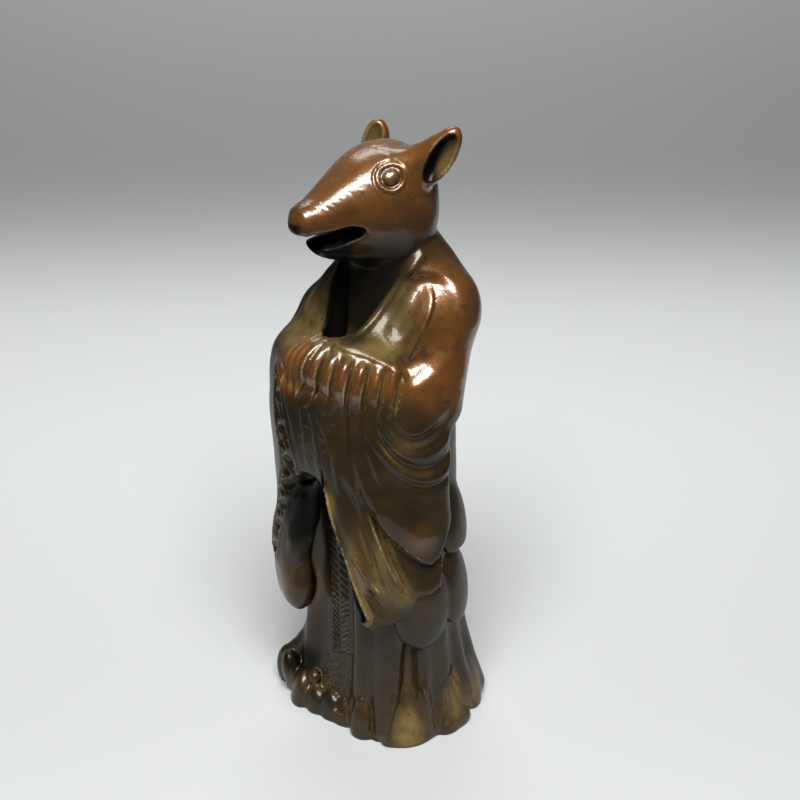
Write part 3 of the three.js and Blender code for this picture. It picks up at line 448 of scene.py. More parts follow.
skull = stack([
    [-7.4, 0, -0.6, 2.4, 2.8, 0],
    [-5.8, 0, -0.6, 5.2, 6.0, 0],
    [-2.6, 0, -0.4, 7.2, 8.0, 0],
    [1, 0, -0.1, 7.4, 8.0, 0],
    [5, 0, 0.0, 6.2, 6.8, 0],
    [9, 0, -0.3, 4.5, 4.7, 0],
    [12.6, 0, -0.9, 3.1, 3.0, 0],
    [14.9, 0, -1.1, 2.3, 2.2, 0],
    [16.3, 0, -1.3, 1.1, 1.0, 0],
], 2.4, 1.2)
jaw = stack([
    [0, 0, -5.4, 5.4, 3.8, 0],
    [4, 0, -6.0, 4.8, 3.0, 0],
    [7.6, 0, -6.0, 3.8, 2.2, 0],
    [10.4, 0, -5.5, 3.1, 1.8, 0],
    [12.6, 0, -5.0, 2.5, 1.3, 0],
], 2.2, 1)
mouth = stack([
    [6.7, 0, -2.9, 6, 0.5, 0],
    [7.5, 0, -2.9, 6, 1.15, 0],
    [9.2, 0, -3.05, 6, 1.5, 0],
    [11.5, 0, -3.5, 6, 1.3, 0],
    [18, 0, -4.1, 6, 1.1, 0],
], 3.0, 0.5)
palate = egg(on_head(10.8, 0, -5.0), (1.9, 2.9, 1.3), HEAD["heading"])
tongue = bar(on_head(4, 0, -4.9), on_head(10.4, 0, -6.3), 2.0, 0.7)
EYE = on_head(3.3, 6.2, 5.1)
NOSTRIL = on_head(16.2, 1.3, -1.4)
near_ear_shell = egg(on_head(-3.4, 8.5, 7.3), [2.2, 2.0, 5.0], 38, -8, 28)
near_ear_scoop = egg(on_head(-2.1, 10.5, 7.3), [1.65, 2.7, 4.3], 38, -8, 28)
near_ear_web = bar(on_head(-0.6, 4.4, 5.2), on_head(-3.3, 7.7, 7.9), 2.7, 2.0)
far_ear_shell = egg(on_head(-3.6, -7.6, 5.0), [2.1, 1.7, 3.9], 38, 6, 10)
far_ear_scoop = egg(on_head(-2.5, -7.0, 5.5), [1.6, 1.2, 3.3], 38, 6, 10)
neck = bar([0, 3.2, 66], [0.6, 2.8, 86], 6.6, 6.5)


def strand(t0, w0, t1, w1, half, depth):
    """A short stroke of fur on the side of the head, from one place in profile to another"""
    def value(t, w):
        dt, dw = t1 - t0, w1 - w0
        along = clamp01(((t - t0) * dt + (w - w0) * dw) / (dt * dt + dw * dw))
        off = np.hypot(t - t0 - dt * along, w - w0 - dw * along)
        return depth * np.maximum(0, 1 - (off / half) ** 2) ** 2

    return value


# Strokes of fur: two long rows along the snout and over the brow, and two short ones by the nose and the eye
FUR = []
FUR_HALF = 0.18
for i in range(18):
    shake = math.sin(i * 2.4)
    t, w = 10.4 - i * 0.42, 2.5 + i * 0.16 + 0.5 * shake
    FUR.append(strand(t, w, t - 0.6 - 0.2 * shake, w - 0.6 + 0.3 * shake, FUR_HALF, -0.03))
    t, w = 2.4 - i * 0.3, 8.0 - i * 0.18 + 0.3 * shake
    FUR.append(strand(t, w, t - 0.4 + 0.3 * shake, w - 0.6, FUR_HALF, -0.08))
for i in range(8):
    shake = math.sin(i * 1.9)
    t, w = 14.0 - i * 0.42, 1.5 + 0.3 * shake
    FUR.append(strand(t, w, 13.6 - i * 0.4, 0.9 + 0.3 * shake, FUR_HALF, -0.07))
    t, w = 1.4 - i * 0.42, 2.2 - i * 0.1
    FUR.append(strand(t, w, 0.8 - i * 0.5, 1.4 + 0.4 * shake, FUR_HALF, -0.08))


def head(x, y, z):
    t, v, w = to_head(x, y, z)
    d = smin(skull(v, w, t), jaw(v, w, t), 1.5)
    opening = np.minimum(mouth(v, w, t), palate(x, y, z))
    d = smax(d, -smax(opening, -tongue(x, y, z), 0.3), 0.45)
    # nose pad and nostril
    d -= 0.1 * bump(t - 0.12 * w, 15.0, 0.5)
    nostril = np.sqrt((x - NOSTRIL[0]) ** 2 + (y - NOSTRIL[1]) ** 2 + (z - NOSTRIL[2]) ** 2)
    d += 0.5 * np.maximum(0, 1 - (nostril / 0.75) ** 2)
    # eye: ball, groove, ring and the lid's fold above it
    r = np.sqrt((x - EYE[0]) ** 2 + (y - EYE[1]) ** 2 + (z - EYE[2]) ** 2)
    above = clamp01(0.55 + (z - EYE[2] + 0.35 * (t - 3.3)) / 2.4)
    d -= 0.5 * np.maximum(0, 1 - (r / 1.45) ** 2)
    d += 0.3 * bump(r, 1.52, 0.38) - 0.26 * bump(r, 2.05, 0.42)
    d += (0.05 + 0.25 * above) * bump(r, 2.5, 0.4)
    near = (np.abs(d) < 1.5) & (v > 0)
    if near.any():
        d[near] -= sum(f(t[near], w[near]) for f in FUR)
    near_ear = smin(near_ear_shell(x, y, z), near_ear_web(x, y, z), 1.6)
    d = smin(d, near_ear, 1.6)
    d = smax(d, -near_ear_scoop(x, y, z), 0.4)
    d = smin(d, smax(far_ear_shell(x, y, z), -far_ear_scoop(x, y, z), 0.4), 1.2)
    return smin(d, neck(x, y, z), 1.5)


# The robe's upper edge rises along the left lapel to the nape, and steeply along the right one
COLLAR = {"low": 68.9, "left": 0.17, "top": 83.0, "cross": 66, "right": 0.85, "right_az": -31}


def collar(az):
    """Height of the robe's upper edge"""
    left = smin(COLLAR["low"] + COLLAR["left"] * az, COLLAR["top"], 3)
    right = np.minimum(COLLAR["cross"] + COLLAR["right"] * (COLLAR["right_az"] - az), COLLAR["top"])
    return np.maximum(left, right)


def chest_and_arms(x, y, z):
    d = smin(left_shoulder(x, y, z), right_shoulder(x, y, z), 2)
    d = smin(chest(x, y, z), d, 2.5)
    d = smin(d, left_breast(x, y, z), 3)
    d = smin(d, left_arm(x, y, z), 2.5)
    return smin(d, right_arm(x, y, z), 2.5)


def lapel(az, rho, z):
    """The raised edge of the robe's opening"""
    edge = collar(az) - z
    return 0.4 * band(edge, -2, 1.3, 1.4) * band(az, -10, 88, 10)


# Edge of the left arm's cloth: from the shoulder down to the elbow and round to the forearm
ARM_EDGE = [[92, 79.5], [89, 77], [86.5, 74], [84, 71], [79, 68.6], [70, 66.6], [60, 65.2], [50, 64.4]]
arm_ledge = ledge(ARM_EDGE, 1.7, 8, 0.12, 3.4)

robe_body = draped(chest_and_arms, [
    lapel,
    # soft valley down the left lapel, then the hollow beside the arm's edge with its folds
    fold([[80, 78.5], [60, 74.5], [38, 69.5]], 1.7, -0.35),
    arm_ledge,
    fold([[88, 79], [71, 73.5], [54, 66.8]], 0.6, 0.3),
    fold([[82, 77.5], [72, 75], [63, 71]], 0.9, 0.2),
    # right shoulder and forearm
    fold([[-66, 79], [-76, 73.5], [-53, 67.5]], 1.1, 0.65),
    fold([[-40, 78], [-50, 73], [-44, 67]], 1.0, -0.4),
    fold([[-78, 78], [-84, 72], [-74, 64]], 1.4, 0.4),
    fold([[-60, 66.4], [-44, 68.6], [-16, 68.4]], 0.8, 0.4),
    *fan(3, [[130, 76], [140, 66], [150, 52]], [[172, 78], [176, 64], [178, 50]], 1.6, -0.5),
    *fan(3, [[-130, 76], [-140, 66], [-150, 52]], [[-172, 78], [-176, 64], [-178, 50]], 1.6, -0.5),
])
throat_slot = bar(place(-43, 6.3, 80), place(-30, 7.8, 67), 1.2, 1.7)


# What a height above one of the robe's slanting edges is multiplied by, for roughly the distance from it
EDGE_SLANT = 0.7


def robe_top(x, y, z):
    return smax(robe_body(x, y, z), (z - collar(around(x, y))) * EDGE_SLANT, 0.5)


# Lower edge of the left sleeve: down the cuff to its tip, then out past a notch to the second tip, and up
LEFT_HEM = [
    [-2, 50], [3, 46], [7.5, 41], [10.5, 36.4], [12.8, 31.5], [14.6, 28], [17.6, 25.2], [22, 23.4],
    [30, 22.2], [44, 23.6], [52, 24.9], [55.5, 26.8], [58, 28.4], [66, 28.4], [72, 29.3], [76, 33.5],
    [80, 38], [90, 46],
]
# azimuths between which that edge cuts the sleeve
HEM_FROM, HEM_TO = -2, 130


def left_hem(az):
    return np.interp(az, [p[0] for p in LEFT_HEM], [p[1] for p in LEFT_HEM])


def sleeve_shape(x, y, z):
    """Both sleeves with the cloth between them and their openings"""
    d = smin(left_forearm(x, y, z), right_forearm(x, y, z), 1.5)
    d = smin(d, left_sleeve(x, y, z), 2.5)
    d = smin(d, right_sleeve(x, y, z), 2.5)
    d = smin(d, apron(x, y, z), 1.5)
    d = smax(d, -right_mouth(x, y, z), 1.2)
    d = smax(d, -left_mouth(x, y, z), 0.8)
    d = smax(d, -left_slot(x, y, z), 0.4)
    d = smin(d, right_toe(x, y, z), 1.6)
    az = around(x, y)
    cut = smax(d, (left_hem(az) - z) * EDGE_SLANT, 0.6)
    return np.where((az > HEM_FROM) & (az < HEM_TO), cut, d)


# Band of leaves on the right cuff: how far round the body its middle runs at each height
CUFF_MIDDLE = [[28, -56], [34, -51], [40, -42], [46, -31], [50, -29], [56, -32], [62, -38]]
CUFF = {"half": 1.9, "pitch": 5.0, "low": 27, "high": 63}


def cuff_band(az, rho, z):
    """Raised leaves in a row, each set aslant, with hollows between them"""
    middle = np.interp(z, [p[0] for p in CUFF_MIDDLE], [p[1] for p in CUFF_MIDDLE])
    off = (az - middle) * np.radians(rho)
    step = z / CUFF["pitch"]
    wave = np.sin(step * 2 * math.pi)
    stem = bump(off, 1.0 * wave, 0.55)
    leaf = bump(off, -0.75 * wave, 1.2) * bump(np.abs(wave), 1, 0.85)
    inside = band(np.abs(off), -9, CUFF["half"], 0.5) * band(z, CUFF["low"], CUFF["high"], 3)
    edge = bump(np.abs(off), CUFF["half"], 0.4) * band(z, CUFF["low"], CUFF["high"], 3)
    return inside * (0.3 * stem - 0.6 * leaf) + 0.25 * edge


def brocade(az, rho, z):
    """Faint curling marks on the front panel"""
    curl = np.sin(az * 0.42 + 1.6 * np.sin(z * 1.1)) * np.sin(z * 1.9 + 1.2 * np.sin(az * 0.33))
    return 0.13 * np.maximum(0, curl - 0.35) * band(az, -16, 12, 5) * band(z, 53, 63, 3)


# Edge of the left sleeve's outer cloth, which hangs over the folds below it
POUCH = [
    [17, 51], [24, 46.2], [30, 43], [40, 39.6], [51, 36.6], [60, 34.6], [66, 33.9], [71, 34.9],
    [76, 37.5], [81, 41],
]

sleeves_both = draped(sleeve_shape, [
    # gathers over the joined forearms: pinched valleys with full ridges between, below a thin rim
    *fan(7, [[-13, 69.7], [-11, 66.6], [-17, 59]], [[51, 66.5], [46, 63.6], [42, 57.5]], 0.5, -0.6, 0.35),
    *fan(6, [[-7.7, 69.6], [-6, 67.4], [-8, 63]], [[46.3, 67.0], [43, 65.2], [41, 60.6]], 1.0, 0.42),
    fold([[-10, 69.3], [24, 69.3], [53, 65.7]], 0.35, 0.15, 0.1),
    *fan(3, [[-38, 69.5], [-33, 65], [-24, 59.5]], [[-22, 70], [-18, 65.5], [-13, 59]], 0.8, -0.4),
    arm_ledge,
    # front panel
    fold([[-29, 62], [-15, 56], [-19, 47.5]], 0.6, 0.3),
    fold([[-14, 61], [-11, 54], [-12, 48]], 0.6, 0.2),
    fold([[-8, 60.5], [-2, 55], [-4.5, 47]], 0.6, 0.3),
    fold([[-4, 60], [3, 56], [12, 49]], 0.55, 0.22),
    fold([[1, 59], [7, 55], [11, 46]], 0.6, 0.25),
    brocade,
    # folds that hang below the left elbow, each from a gather round to the outer side
    fold([[34, 62], [53, 49.4], [86, 61]], 1.3, -0.55),
    fold([[29, 62], [51, 46], [92, 58]], 1.3, 0.35),
    fold([[24.5, 62], [51, 43.3], [96, 55]], 1.2, -0.45),
    fold([[21, 61], [53, 41.3], [98, 53]], 1.1, 0.25),
    fold([[18, 61], [54, 39.5], [100, 51.5]], 1.1, -0.3),
    # long folds from the gathers to the hem, below the outer cloth's pouch
    fold([[13, 63], [13, 52], [29, 43.5]], 0.9, -0.4),
    fold([[20, 62], [22, 54], [36, 46]], 1.1, -0.35),
    fold([[30, 46], [48, 42], [70, 37]], 3.0, 0.6),
    ledge(POUCH, 1.5, 6),
    fold([[26, 47], [37, 37.5], [55.5, 27.6]], 0.9, -0.8),
    fold([[24, 44], [33, 36], [52, 26.6]], 1.0, 0.4),
    fold([[12, 50], [23, 40], [42, 26]], 0.9, -0.55),
    # rolled front edge of the left cuff and the dents beside it
    fold([[-1, 49], [12, 35.6], [30.5, 23]], 0.6, 0.55, 0.1),
    fold([[17, 36], [24, 35], [28.5, 31]], 0.8, 0.5),
    fold([[27, 31.4], [34, 30.4], [40, 28]], 0.9, 0.55),
    fold([[25, 30.4], [31, 28], [38, 25]], 0.9, -0.5),
    # right sleeve
    cuff_band,
    fold([[-14, 48], [-34, 42], [-41, 27]], 0.6, 0.4),
    *fan(3, [[-62, 62], [-62, 50], [-60, 34]], [[-78, 60], [-74, 48], [-68, 30]], 1.2, -0.45),
])


FAR = 40


def only(near, shape, x, y, z):
    """The shape's distance at the places that are near it, and a far one elsewhere"""
    d = np.full_like(z, FAR)
    if near.any():
        d[near] = shape(x[near], y[near], z[near])
    return d


def skirt_shape(x, y, z):
    """The skirt with its flutes, hem, flap and lobes"""
    d = skirt_core(x, y, z)
    for part in flutes:
        d = smin(d, part(x, y, z), 1.8)
    for part in hem:
        d = smin(d, part(x, y, z), 0.7)
    d = smin(d, flap(x, y, z), 0.3)
    for part, end in zip(edge_lobes, LOBE_ENDS):
        lobe = part(x, y, z)
        d = smin(d, smax(lobe, end - z, 0.7) if end else lobe, 0.5)
    return d


skirt = draped(skirt_shape, [
    # hollow of the channel between its two raised rims
    fold([[52, 3.0], [57, 9], [55, 20]], 2.4, -0.45),
    fold([[39, 0.6], [37, 4.6], [46, 9.5]], 0.9, 0.6, 0.15),
    fold([[66, 1.6], [68, 6], [64, 11]], 0.8, 0.6, 0.15),
    # toe beside it, with its grooves, and a slit in the hem
    fold([[28, 0.4], [30.5, 3.6], [24, 7.2]], 0.9, -0.45, 0.3),
    fold([[9, 0.4], [7, 4], [14, 7.4]], 0.8, -0.4, 0.3),
    fold([[22, 6.4], [18, 7.2], [14, 5.4]], 0.8, 0.4, 0.3),
    fold([[-8, 2.8], [-2, 2.4], [4, 2.8]], 0.45, -0.55, 0.2),
    # folds that spread to the hem of the outer lobe
    *fan(4, [[83, 11], [80, 6], [76, 1.2]], [[93, 11], [98, 6], [103, 1.2]], 0.8, -0.45),
])


# Heights between which each main part counts
REACH = {"skirt_top": 82, "robe_low": 40, "sleeves_low": 14, "sleeves_top": 78, "head_low": 60}


def figure(x, y, z):
    """Distance to the whole figure"""
    d = smin(only(z < REACH["skirt_top"], skirt, x, y, z), only(z > REACH["robe_low"], robe_top, x, y, z), 2)
    hanging = (z > REACH["sleeves_low"]) & (z < REACH["sleeves_top"])
    # the sleeves melt into the shoulders, and stand out sharper below them
    d = smin(d, only(hanging, sleeves_both, x, y, z), 0.8 + 1.6 * band(z, 63, 90, 3))
    d = smin(d, only(z > REACH["head_low"], head, x, y, z), 0.9)
    d = smax(d, -throat_slot(x, y, z), 0.6)
    return np.maximum(d, -z)


def measure(shape, points):
    """The shape's distances at many points, a part of them at a time"""
    out = np.empty(len(points), FLOAT)
    step = 120000
    for start in range(0, len(points), step):
        x, y, z = points[start:start + step].T.astype(FLOAT)
        out[start:start + step] = shape(x, y, z)
    return out


def slope(shape, points, reach):
    """The shape's gradient at many points, from its values a small reach to each side"""
    sides = []
    for k in range(3):
        step = np.zeros(3, FLOAT)
        step[k] = reach
        sides.append((measure(shape, points + step) - measure(shape, points - step)) / (2 * reach))
    return np.stack(sides, 1)


def surface(shape, low, high, cell):
    """The shape's skin as points and four-sided faces: one point in each cell that the skin passes through"""
    block, reach = 4, 4
    blocks = np.ceil((np.array(high) - low) / (cell * block)).astype(int)
    size = blocks * block + 1
    strides = np.array([size[1] * size[2], size[2], 1])
    grid = np.stack(np.meshgrid(*[np.arange(n) for n in blocks], indexing="ij"), -1).reshape(-1, 3) * block
    mids = np.array(low) + (grid + block / 2) * cell
    # blocks far from the skin are left out. The reach is wide, because at some edges the values grow
    # several times faster than the distance
    grid = grid[np.abs(measure(shape, mids)) < block * cell * reach]

    def spread(count):
        steps = np.stack(np.meshgrid(*[np.arange(count)] * 3, indexing="ij"), -1).reshape(-1, 3)
        return (grid[:, None, :] + steps).reshape(-1, 3)

    nodes = np.unique(spread(block + 1) @ strides)
    places = np.stack(np.unravel_index(nodes, size), 1)
    value = np.full(int(np.prod(size)), np.nan, FLOAT)
    value[nodes] = measure(shape, np.array(low) + places * cell)
    cells = spread(block)
    ids = cells @ strides
    corners = [np.array([a, b, c]) for a in (0, 1) for b in (0, 1) for c in (0, 1)]
    at_corner = np.stack([value[ids + c @ strides] for c in corners], 1)
    inside = at_corner < 0
    active = inside.any(1) & ~inside.all(1)
    cells, ids, at_corner, inside = cells[active], ids[active], at_corner[active], inside[active]
    total = np.zeros((len(cells), 3))
    count = np.zeros(len(cells))
    for i, a in enumerate(corners):
        for j, b in enumerate(corners):
            if j <= i or np.abs(a - b).sum() != 1:
                continue
            cross = inside[:, i] != inside[:, j]
            t = at_corner[cross, i] / (at_corner[cross, i] - at_corner[cross, j])
            total[cross] += a + (b - a) * t[:, None]
            count[cross] += 1
    points = np.array(low) + (cells + total / count[:, None]) * cell
    number = np.full(len(value), -1, np.int64)
    number[ids] = np.arange(len(ids))
    faces = []
    for axis in range(3):
        along, side, up = strides[axis], strides[(axis + 1) % 3], strides[(axis + 2) % 3]
        here, there = value[ids], value[ids + along]
        for first, turn in ((here < 0) & (there >= 0), 1), ((here >= 0) & (there < 0), -1):
            at = ids[first]
            ring = [number[at], number[at - side], number[at - side - up], number[at - up]]
            quad = np.stack(ring[::turn], 1)
            faces.append(quad[(quad >= 0).all(1)])
    return points, np.concatenate(faces)


def settle(shape, points, cell):
    """The points moved onto the shape's skin, in two steps"""
    for _ in range(2):
        g = slope(shape, points, cell / 5)
        d = measure(shape, points)
        move = d / np.maximum((g * g).sum(1), 0.2)
        points = points - g * np.clip(move, -cell, cell)[:, None]
    return points


def make_mesh(name, points, faces):
    """A Blender mesh from arrays of points and faces"""
    mesh = bpy.data.meshes.new(name)
    sides = faces.shape[1]
    mesh.vertices.add(len(points))
    mesh.vertices.foreach_set("co", points.astype(FLOAT).ravel())
    mesh.loops.add(faces.size)
    mesh.loops.foreach_set("vertex_index", faces.ravel().astype(np.int32))
    mesh.polygons.add(len(faces))
    mesh.polygons.foreach_set("loop_start", np.arange(0, faces.size, sides, dtype=np.int32))
    mesh.update(calc_edges=True)
    mesh.validate()
    return mesh


def read_points(mesh):
    points = np.empty(len(mesh.vertices) * 3, FLOAT)
    mesh.vertices.foreach_get("co", points)
    return points.reshape(-1, 3)


def thinned(mesh, target):
    """The mesh with its flattest places thinned until few enough faces are left"""
    triangles = sum(len(p.vertices) - 2 for p in mesh.polygons)
    source = bpy.data.objects.new("source", mesh)
    bpy.context.scene.collection.objects.link(source)
    if triangles > target:
        thin = source.modifiers.new("thin", "DECIMATE")
        thin.ratio = target / triangles
        thin.use_collapse_triangulate = True
    made = bpy.data.meshes.new_from_object(source.evaluated_get(bpy.context.evaluated_depsgraph_get()))
    bpy.data.objects.remove(source)
    return made


# The fine surface, scaled and set so that its box sits on the CAD box's middle and reaches its height
LOW = (-22, -18, -1.2)
HIGH = (22, 20, 102)
points, faces = surface(figure, LOW, HIGH, CELL)
points = settle(figure, points, CELL)
points[:, 2] = np.maximum(points[:, 2], 0)
middle = (points.min(0) + points.max(0)) / 2
SCALE = (cad_high.z - cad_low.z) / points[:, 2].max()
centre = (cad_low + cad_high) / 2
SHIFT = np.array([centre.x - middle[0] * SCALE, centre.y - middle[1] * SCALE, cad_low.z])


def to_world(p):
    return np.asarray(p) * SCALE + SHIFT


mesh = thinned(make_mesh("bronze_figure", points, faces), FACES)
raw = read_points(mesh)
mesh.vertices.foreach_set("co", to_world(raw).astype(FLOAT).ravel())
mesh.update()
mesh.polygons.foreach_set("use_smooth", np.ones(len(mesh.polygons), bool))
body = bpy.data.objects.new("bronze_figure", mesh)
bpy.context.scene.collection.objects.link(body)

# What each place is like, kept on the mesh for the patina: how deep it lies between its neighbours at
# three reaches, how sharp its edges are, and how much of each stain, painted light and painted shade it has
normals = slope(figure, raw, 0.15)
normals /= np.maximum(np.linalg.norm(normals, axis=1, keepdims=True), 1e-6)


def store(name, values):
    layer = mesh.attributes.new(name, "FLOAT", "POINT")
    layer.data.foreach_set("value", clamp01(values).astype(FLOAT))


for name, reach in (("hollow_fine", 0.8), ("hollow_mid", 2.2), ("hollow_wide", 5.0)):
    store(name, 1 - measure(figure, raw + normals * reach) / reach)
EDGE_REACH = 0.5
below, above = (measure(figure, raw + normals * side) for side in (-EDGE_REACH, EDGE_REACH))
store("crest", (below + above) / EDGE_REACH)

# Stains, painted light and painted shade: azimuth and height of the middle, half sizes in degrees and height,
# strength
STAINS = {
    # orange brown: partly where the cast is handled, partly painted light on the tops that face the lamp
    # and a painted glow on the pouch's lower edge
    "warm_and_painted_light": [
        (96, 75, 26, 9, 1.0), (82, 67, 22, 8, 0.9), (15, 65, 48, 3.4, 1.0), (-26, 65, 18, 5, 0.8),
        (76, 63, 24, 3, 0.6), (60, 38.6, 13, 3.4, 0.45), (46, 54, 9, 1.4, 0.4), (64, 50, 8, 1.2, 0.3),
        (22, 31, 6, 8, 0.8), (-48, 23, 10, 6, 0.5), (-45, 4, 14, 5, 0.4), (20, 4, 10, 5, 0.12),
    ],
    # dusty gold in the quiet places
    "gold": [
        (40, 73.5, 25, 6.5, 0.55), (48, 54, 15, 9, 0.3), (17, 31, 5, 8, 0.9), (-50, 67.6, 16, 2.4, 0.9),
        (-58, 72, 16, 5, 0.6), (20, 69, 40, 1.0, 0.7), (52, 2.5, 11, 4.5, 0.9), (88, 4.4, 11, 4, 0.7),
        (5, 43.5, 4, 5, 0.8), (111, 4, 8, 4, 0.7), (35, 34, 9, 7, 0.7), (50, 29, 9, 3, 0.6),
        (104, 22, 10, 8, 0.35), (-20, 3, 24, 3, 0.1),
    ],
    # painted shade: black in the shaded depths between the sleeves and beside the hem
    "black_and_painted_shade": [
        (-30, 38, 10, 8, 1.0), (-30, 30, 7, 8, 0.6), (-14, 42, 9, 5, 0.7), (-46, 7.5, 9, 4, 0.9),
        (-8, 40, 9, 9, 0.4),
    ],
}


def stained(name, az, z):
    """How much of one kind of mark each place has: a stain, painted light or painted shade"""
    total = np.zeros_like(z)
    for at_az, at_z, half_az, half_z, strength in STAINS[name]:
        total += strength * np.exp(-((az - at_az) / half_az) ** 2 - ((z - at_z) / half_z) ** 2)
    return total


HEAD_FROM, EARS_FROM = 79, 90
rx, ry, rz = raw.T
ring = around(rx, ry)
ht, hv, hw = to_head(rx, ry, rz)


def scooped(scoop):
    """1 on the hollow face that a scoop leaves in an ear"""
    return np.maximum(0, 1 - np.abs(scoop(rx, ry, rz)) / 0.5) * (rz > EARS_FROM)


on_the_head = ease(clamp01((rz - HEAD_FROM) / 3)) * (np.hypot(rx, ry - AXIS_Y) < 20)
body_part = 1 - on_the_head
# painted light and shade: the head is orange brown, lighter above and darker below
warm_and_painted_light = stained("warm_and_painted_light", ring, rz) * body_part + on_the_head * (0.3 + 0.7 * ease(clamp01((hw + 5) / 7)))
# gold in the ears and on the rim of the left cuff; on the near ear's hollow only its back half is gold,
# as painted light
gold = stained("gold", ring, rz) * body_part
far_ear_face, near_ear_face = scooped(far_ear_scoop), scooped(near_ear_scoop)
cuff_edge = bump(left_slot(rx, ry, rz), 0.75, 0.7) * (ring > 16)
gold = np.maximum(gold, cuff_edge)
# painted light: gold on the back half of the near ear's hollow
gold = np.maximum(gold, np.maximum(far_ear_face, near_ear_face * clamp01((-ht - 2) / 2)))
# black: the dark lower lip and nostrils, painted shade over dark patina on the throat, and painted shade
# under the jaw, in both slots and on the front half of the near ear's hollow
by_the_neck = clamp01((3.2 - neck(rx, ry, rz)) / 1.2)
# painted shade over dark patina on the throat
throat_patina_and_shade = ease(clamp01((rz - collar(ring) + 0.4) / 0.9)) * by_the_neck * clamp01((84.5 - rz) / 3) * 0.66
lips = ease(clamp01((ht - 5.5) / 4.5)) * clamp01((-3.6 - hw + 0.12 * (ht - 8)) / 0.8)
skin = clamp01(1.8 - np.minimum(skull(hv, hw, ht), jaw(hv, hw, ht)))
# painted shade under the jaw
painted_shade_under_jaw = 0.6 * clamp01((-2.6 - hw + 0.15 * ht) / 4.5) * on_the_head * skin
nose = 0.75 * clamp01((ht - 15.2) / 0.6) * clamp01((-0.5 - hw) / 0.6) * on_the_head
black_and_painted_shade = np.maximum(np.maximum(throat_patina_and_shade, nose), np.maximum(lips * on_the_head, painted_shade_under_jaw))
# adds the painted shade of the black stains
black_and_painted_shade = stained("black_and_painted_shade", ring, rz) + black_and_painted_shade
# painted shade in the throat's slot
black_and_painted_shade = np.maximum(black_and_painted_shade, clamp01(1.2 - throat_slot(rx, ry, rz) / 0.8))
# painted shade in the left cuff's slot
black_and_painted_shade = np.maximum(black_and_painted_shade, clamp01(1.3 - np.abs(left_slot(rx, ry, rz)) / 0.3))
# painted shade on the front half of the near ear's hollow
black_and_painted_shade = np.maximum(black_and_painted_shade, near_ear_face * clamp01((ht + 0.3 * (hw - 7.3) + 4.3) / 1.2))
for name, values in (("warm_and_painted_light", warm_and_painted_light), ("gold", gold * (1 - 0.9 * throat_patina_and_shade)), ("black_and_painted_shade", black_and_painted_shade)):
    store(name, values)


# Patina
class Nodes:
    """Short calls that add and join shader nodes"""

    def __init__(self, tree):
        self.tree = tree
        tree.nodes.clear()

    def add(self, kind, **inputs):
        node = self.tree.nodes.new(kind)
        for key, value in inputs.items():
            self.put(node.inputs[key.replace("_", " ")], value)
        return node

    def put(self, socket, value):
        if isinstance(value, bpy.types.NodeSocket):
            self.tree.links.new(value, socket)
        else:
            socket.default_value = value

    def attribute(self, name):
        node = self.tree.nodes.new("ShaderNodeAttribute")
        node.attribute_name = name
        return node.outputs["Fac"]

    def math(self, operation, a, b):
        node = self.tree.nodes.new("ShaderNodeMath")
        node.operation = operation
        self.put(node.inputs[0], a)
        self.put(node.inputs[1], b)
        return node.outputs[0]

    def ramp(self, value, low, high, to_low=0.0, to_high=1.0):
        node = self.tree.nodes.new("ShaderNodeMapRange")
        node.interpolation_type = "SMOOTHSTEP"
        for socket, given in zip(node.inputs, (value, low, high, to_low, to_high)):
            self.put(socket, given)
        return node.outputs[0]

    def noise(self, vector, scale, detail, rough):
        node = self.add("ShaderNodeTexNoise", Vector=vector, Scale=scale, Detail=detail, Roughness=rough)
        return node.outputs["Fac"]

    def mix(self, factor, a, b):
        node = self.tree.nodes.new("ShaderNodeMix")
        node.data_type = "RGBA"
        self.put(node.inputs[0], factor)
        for socket, given in ((node.inputs[6], a), (node.inputs[7], b)):
            self.put(socket, given if isinstance(given, bpy.types.NodeSocket) else (*given, 1))
        return node.outputs[2]


# Colours of the bronze
DARK = (0.020, 0.015, 0.007)
BROWN = (0.044, 0.028, 0.011)
ORANGE = (0.185, 0.071, 0.015)
GOLD = (0.19, 0.128, 0.042)
BRIGHT = (0.50, 0.38, 0.20)
BLACK = (0.0035, 0.0035, 0.003)


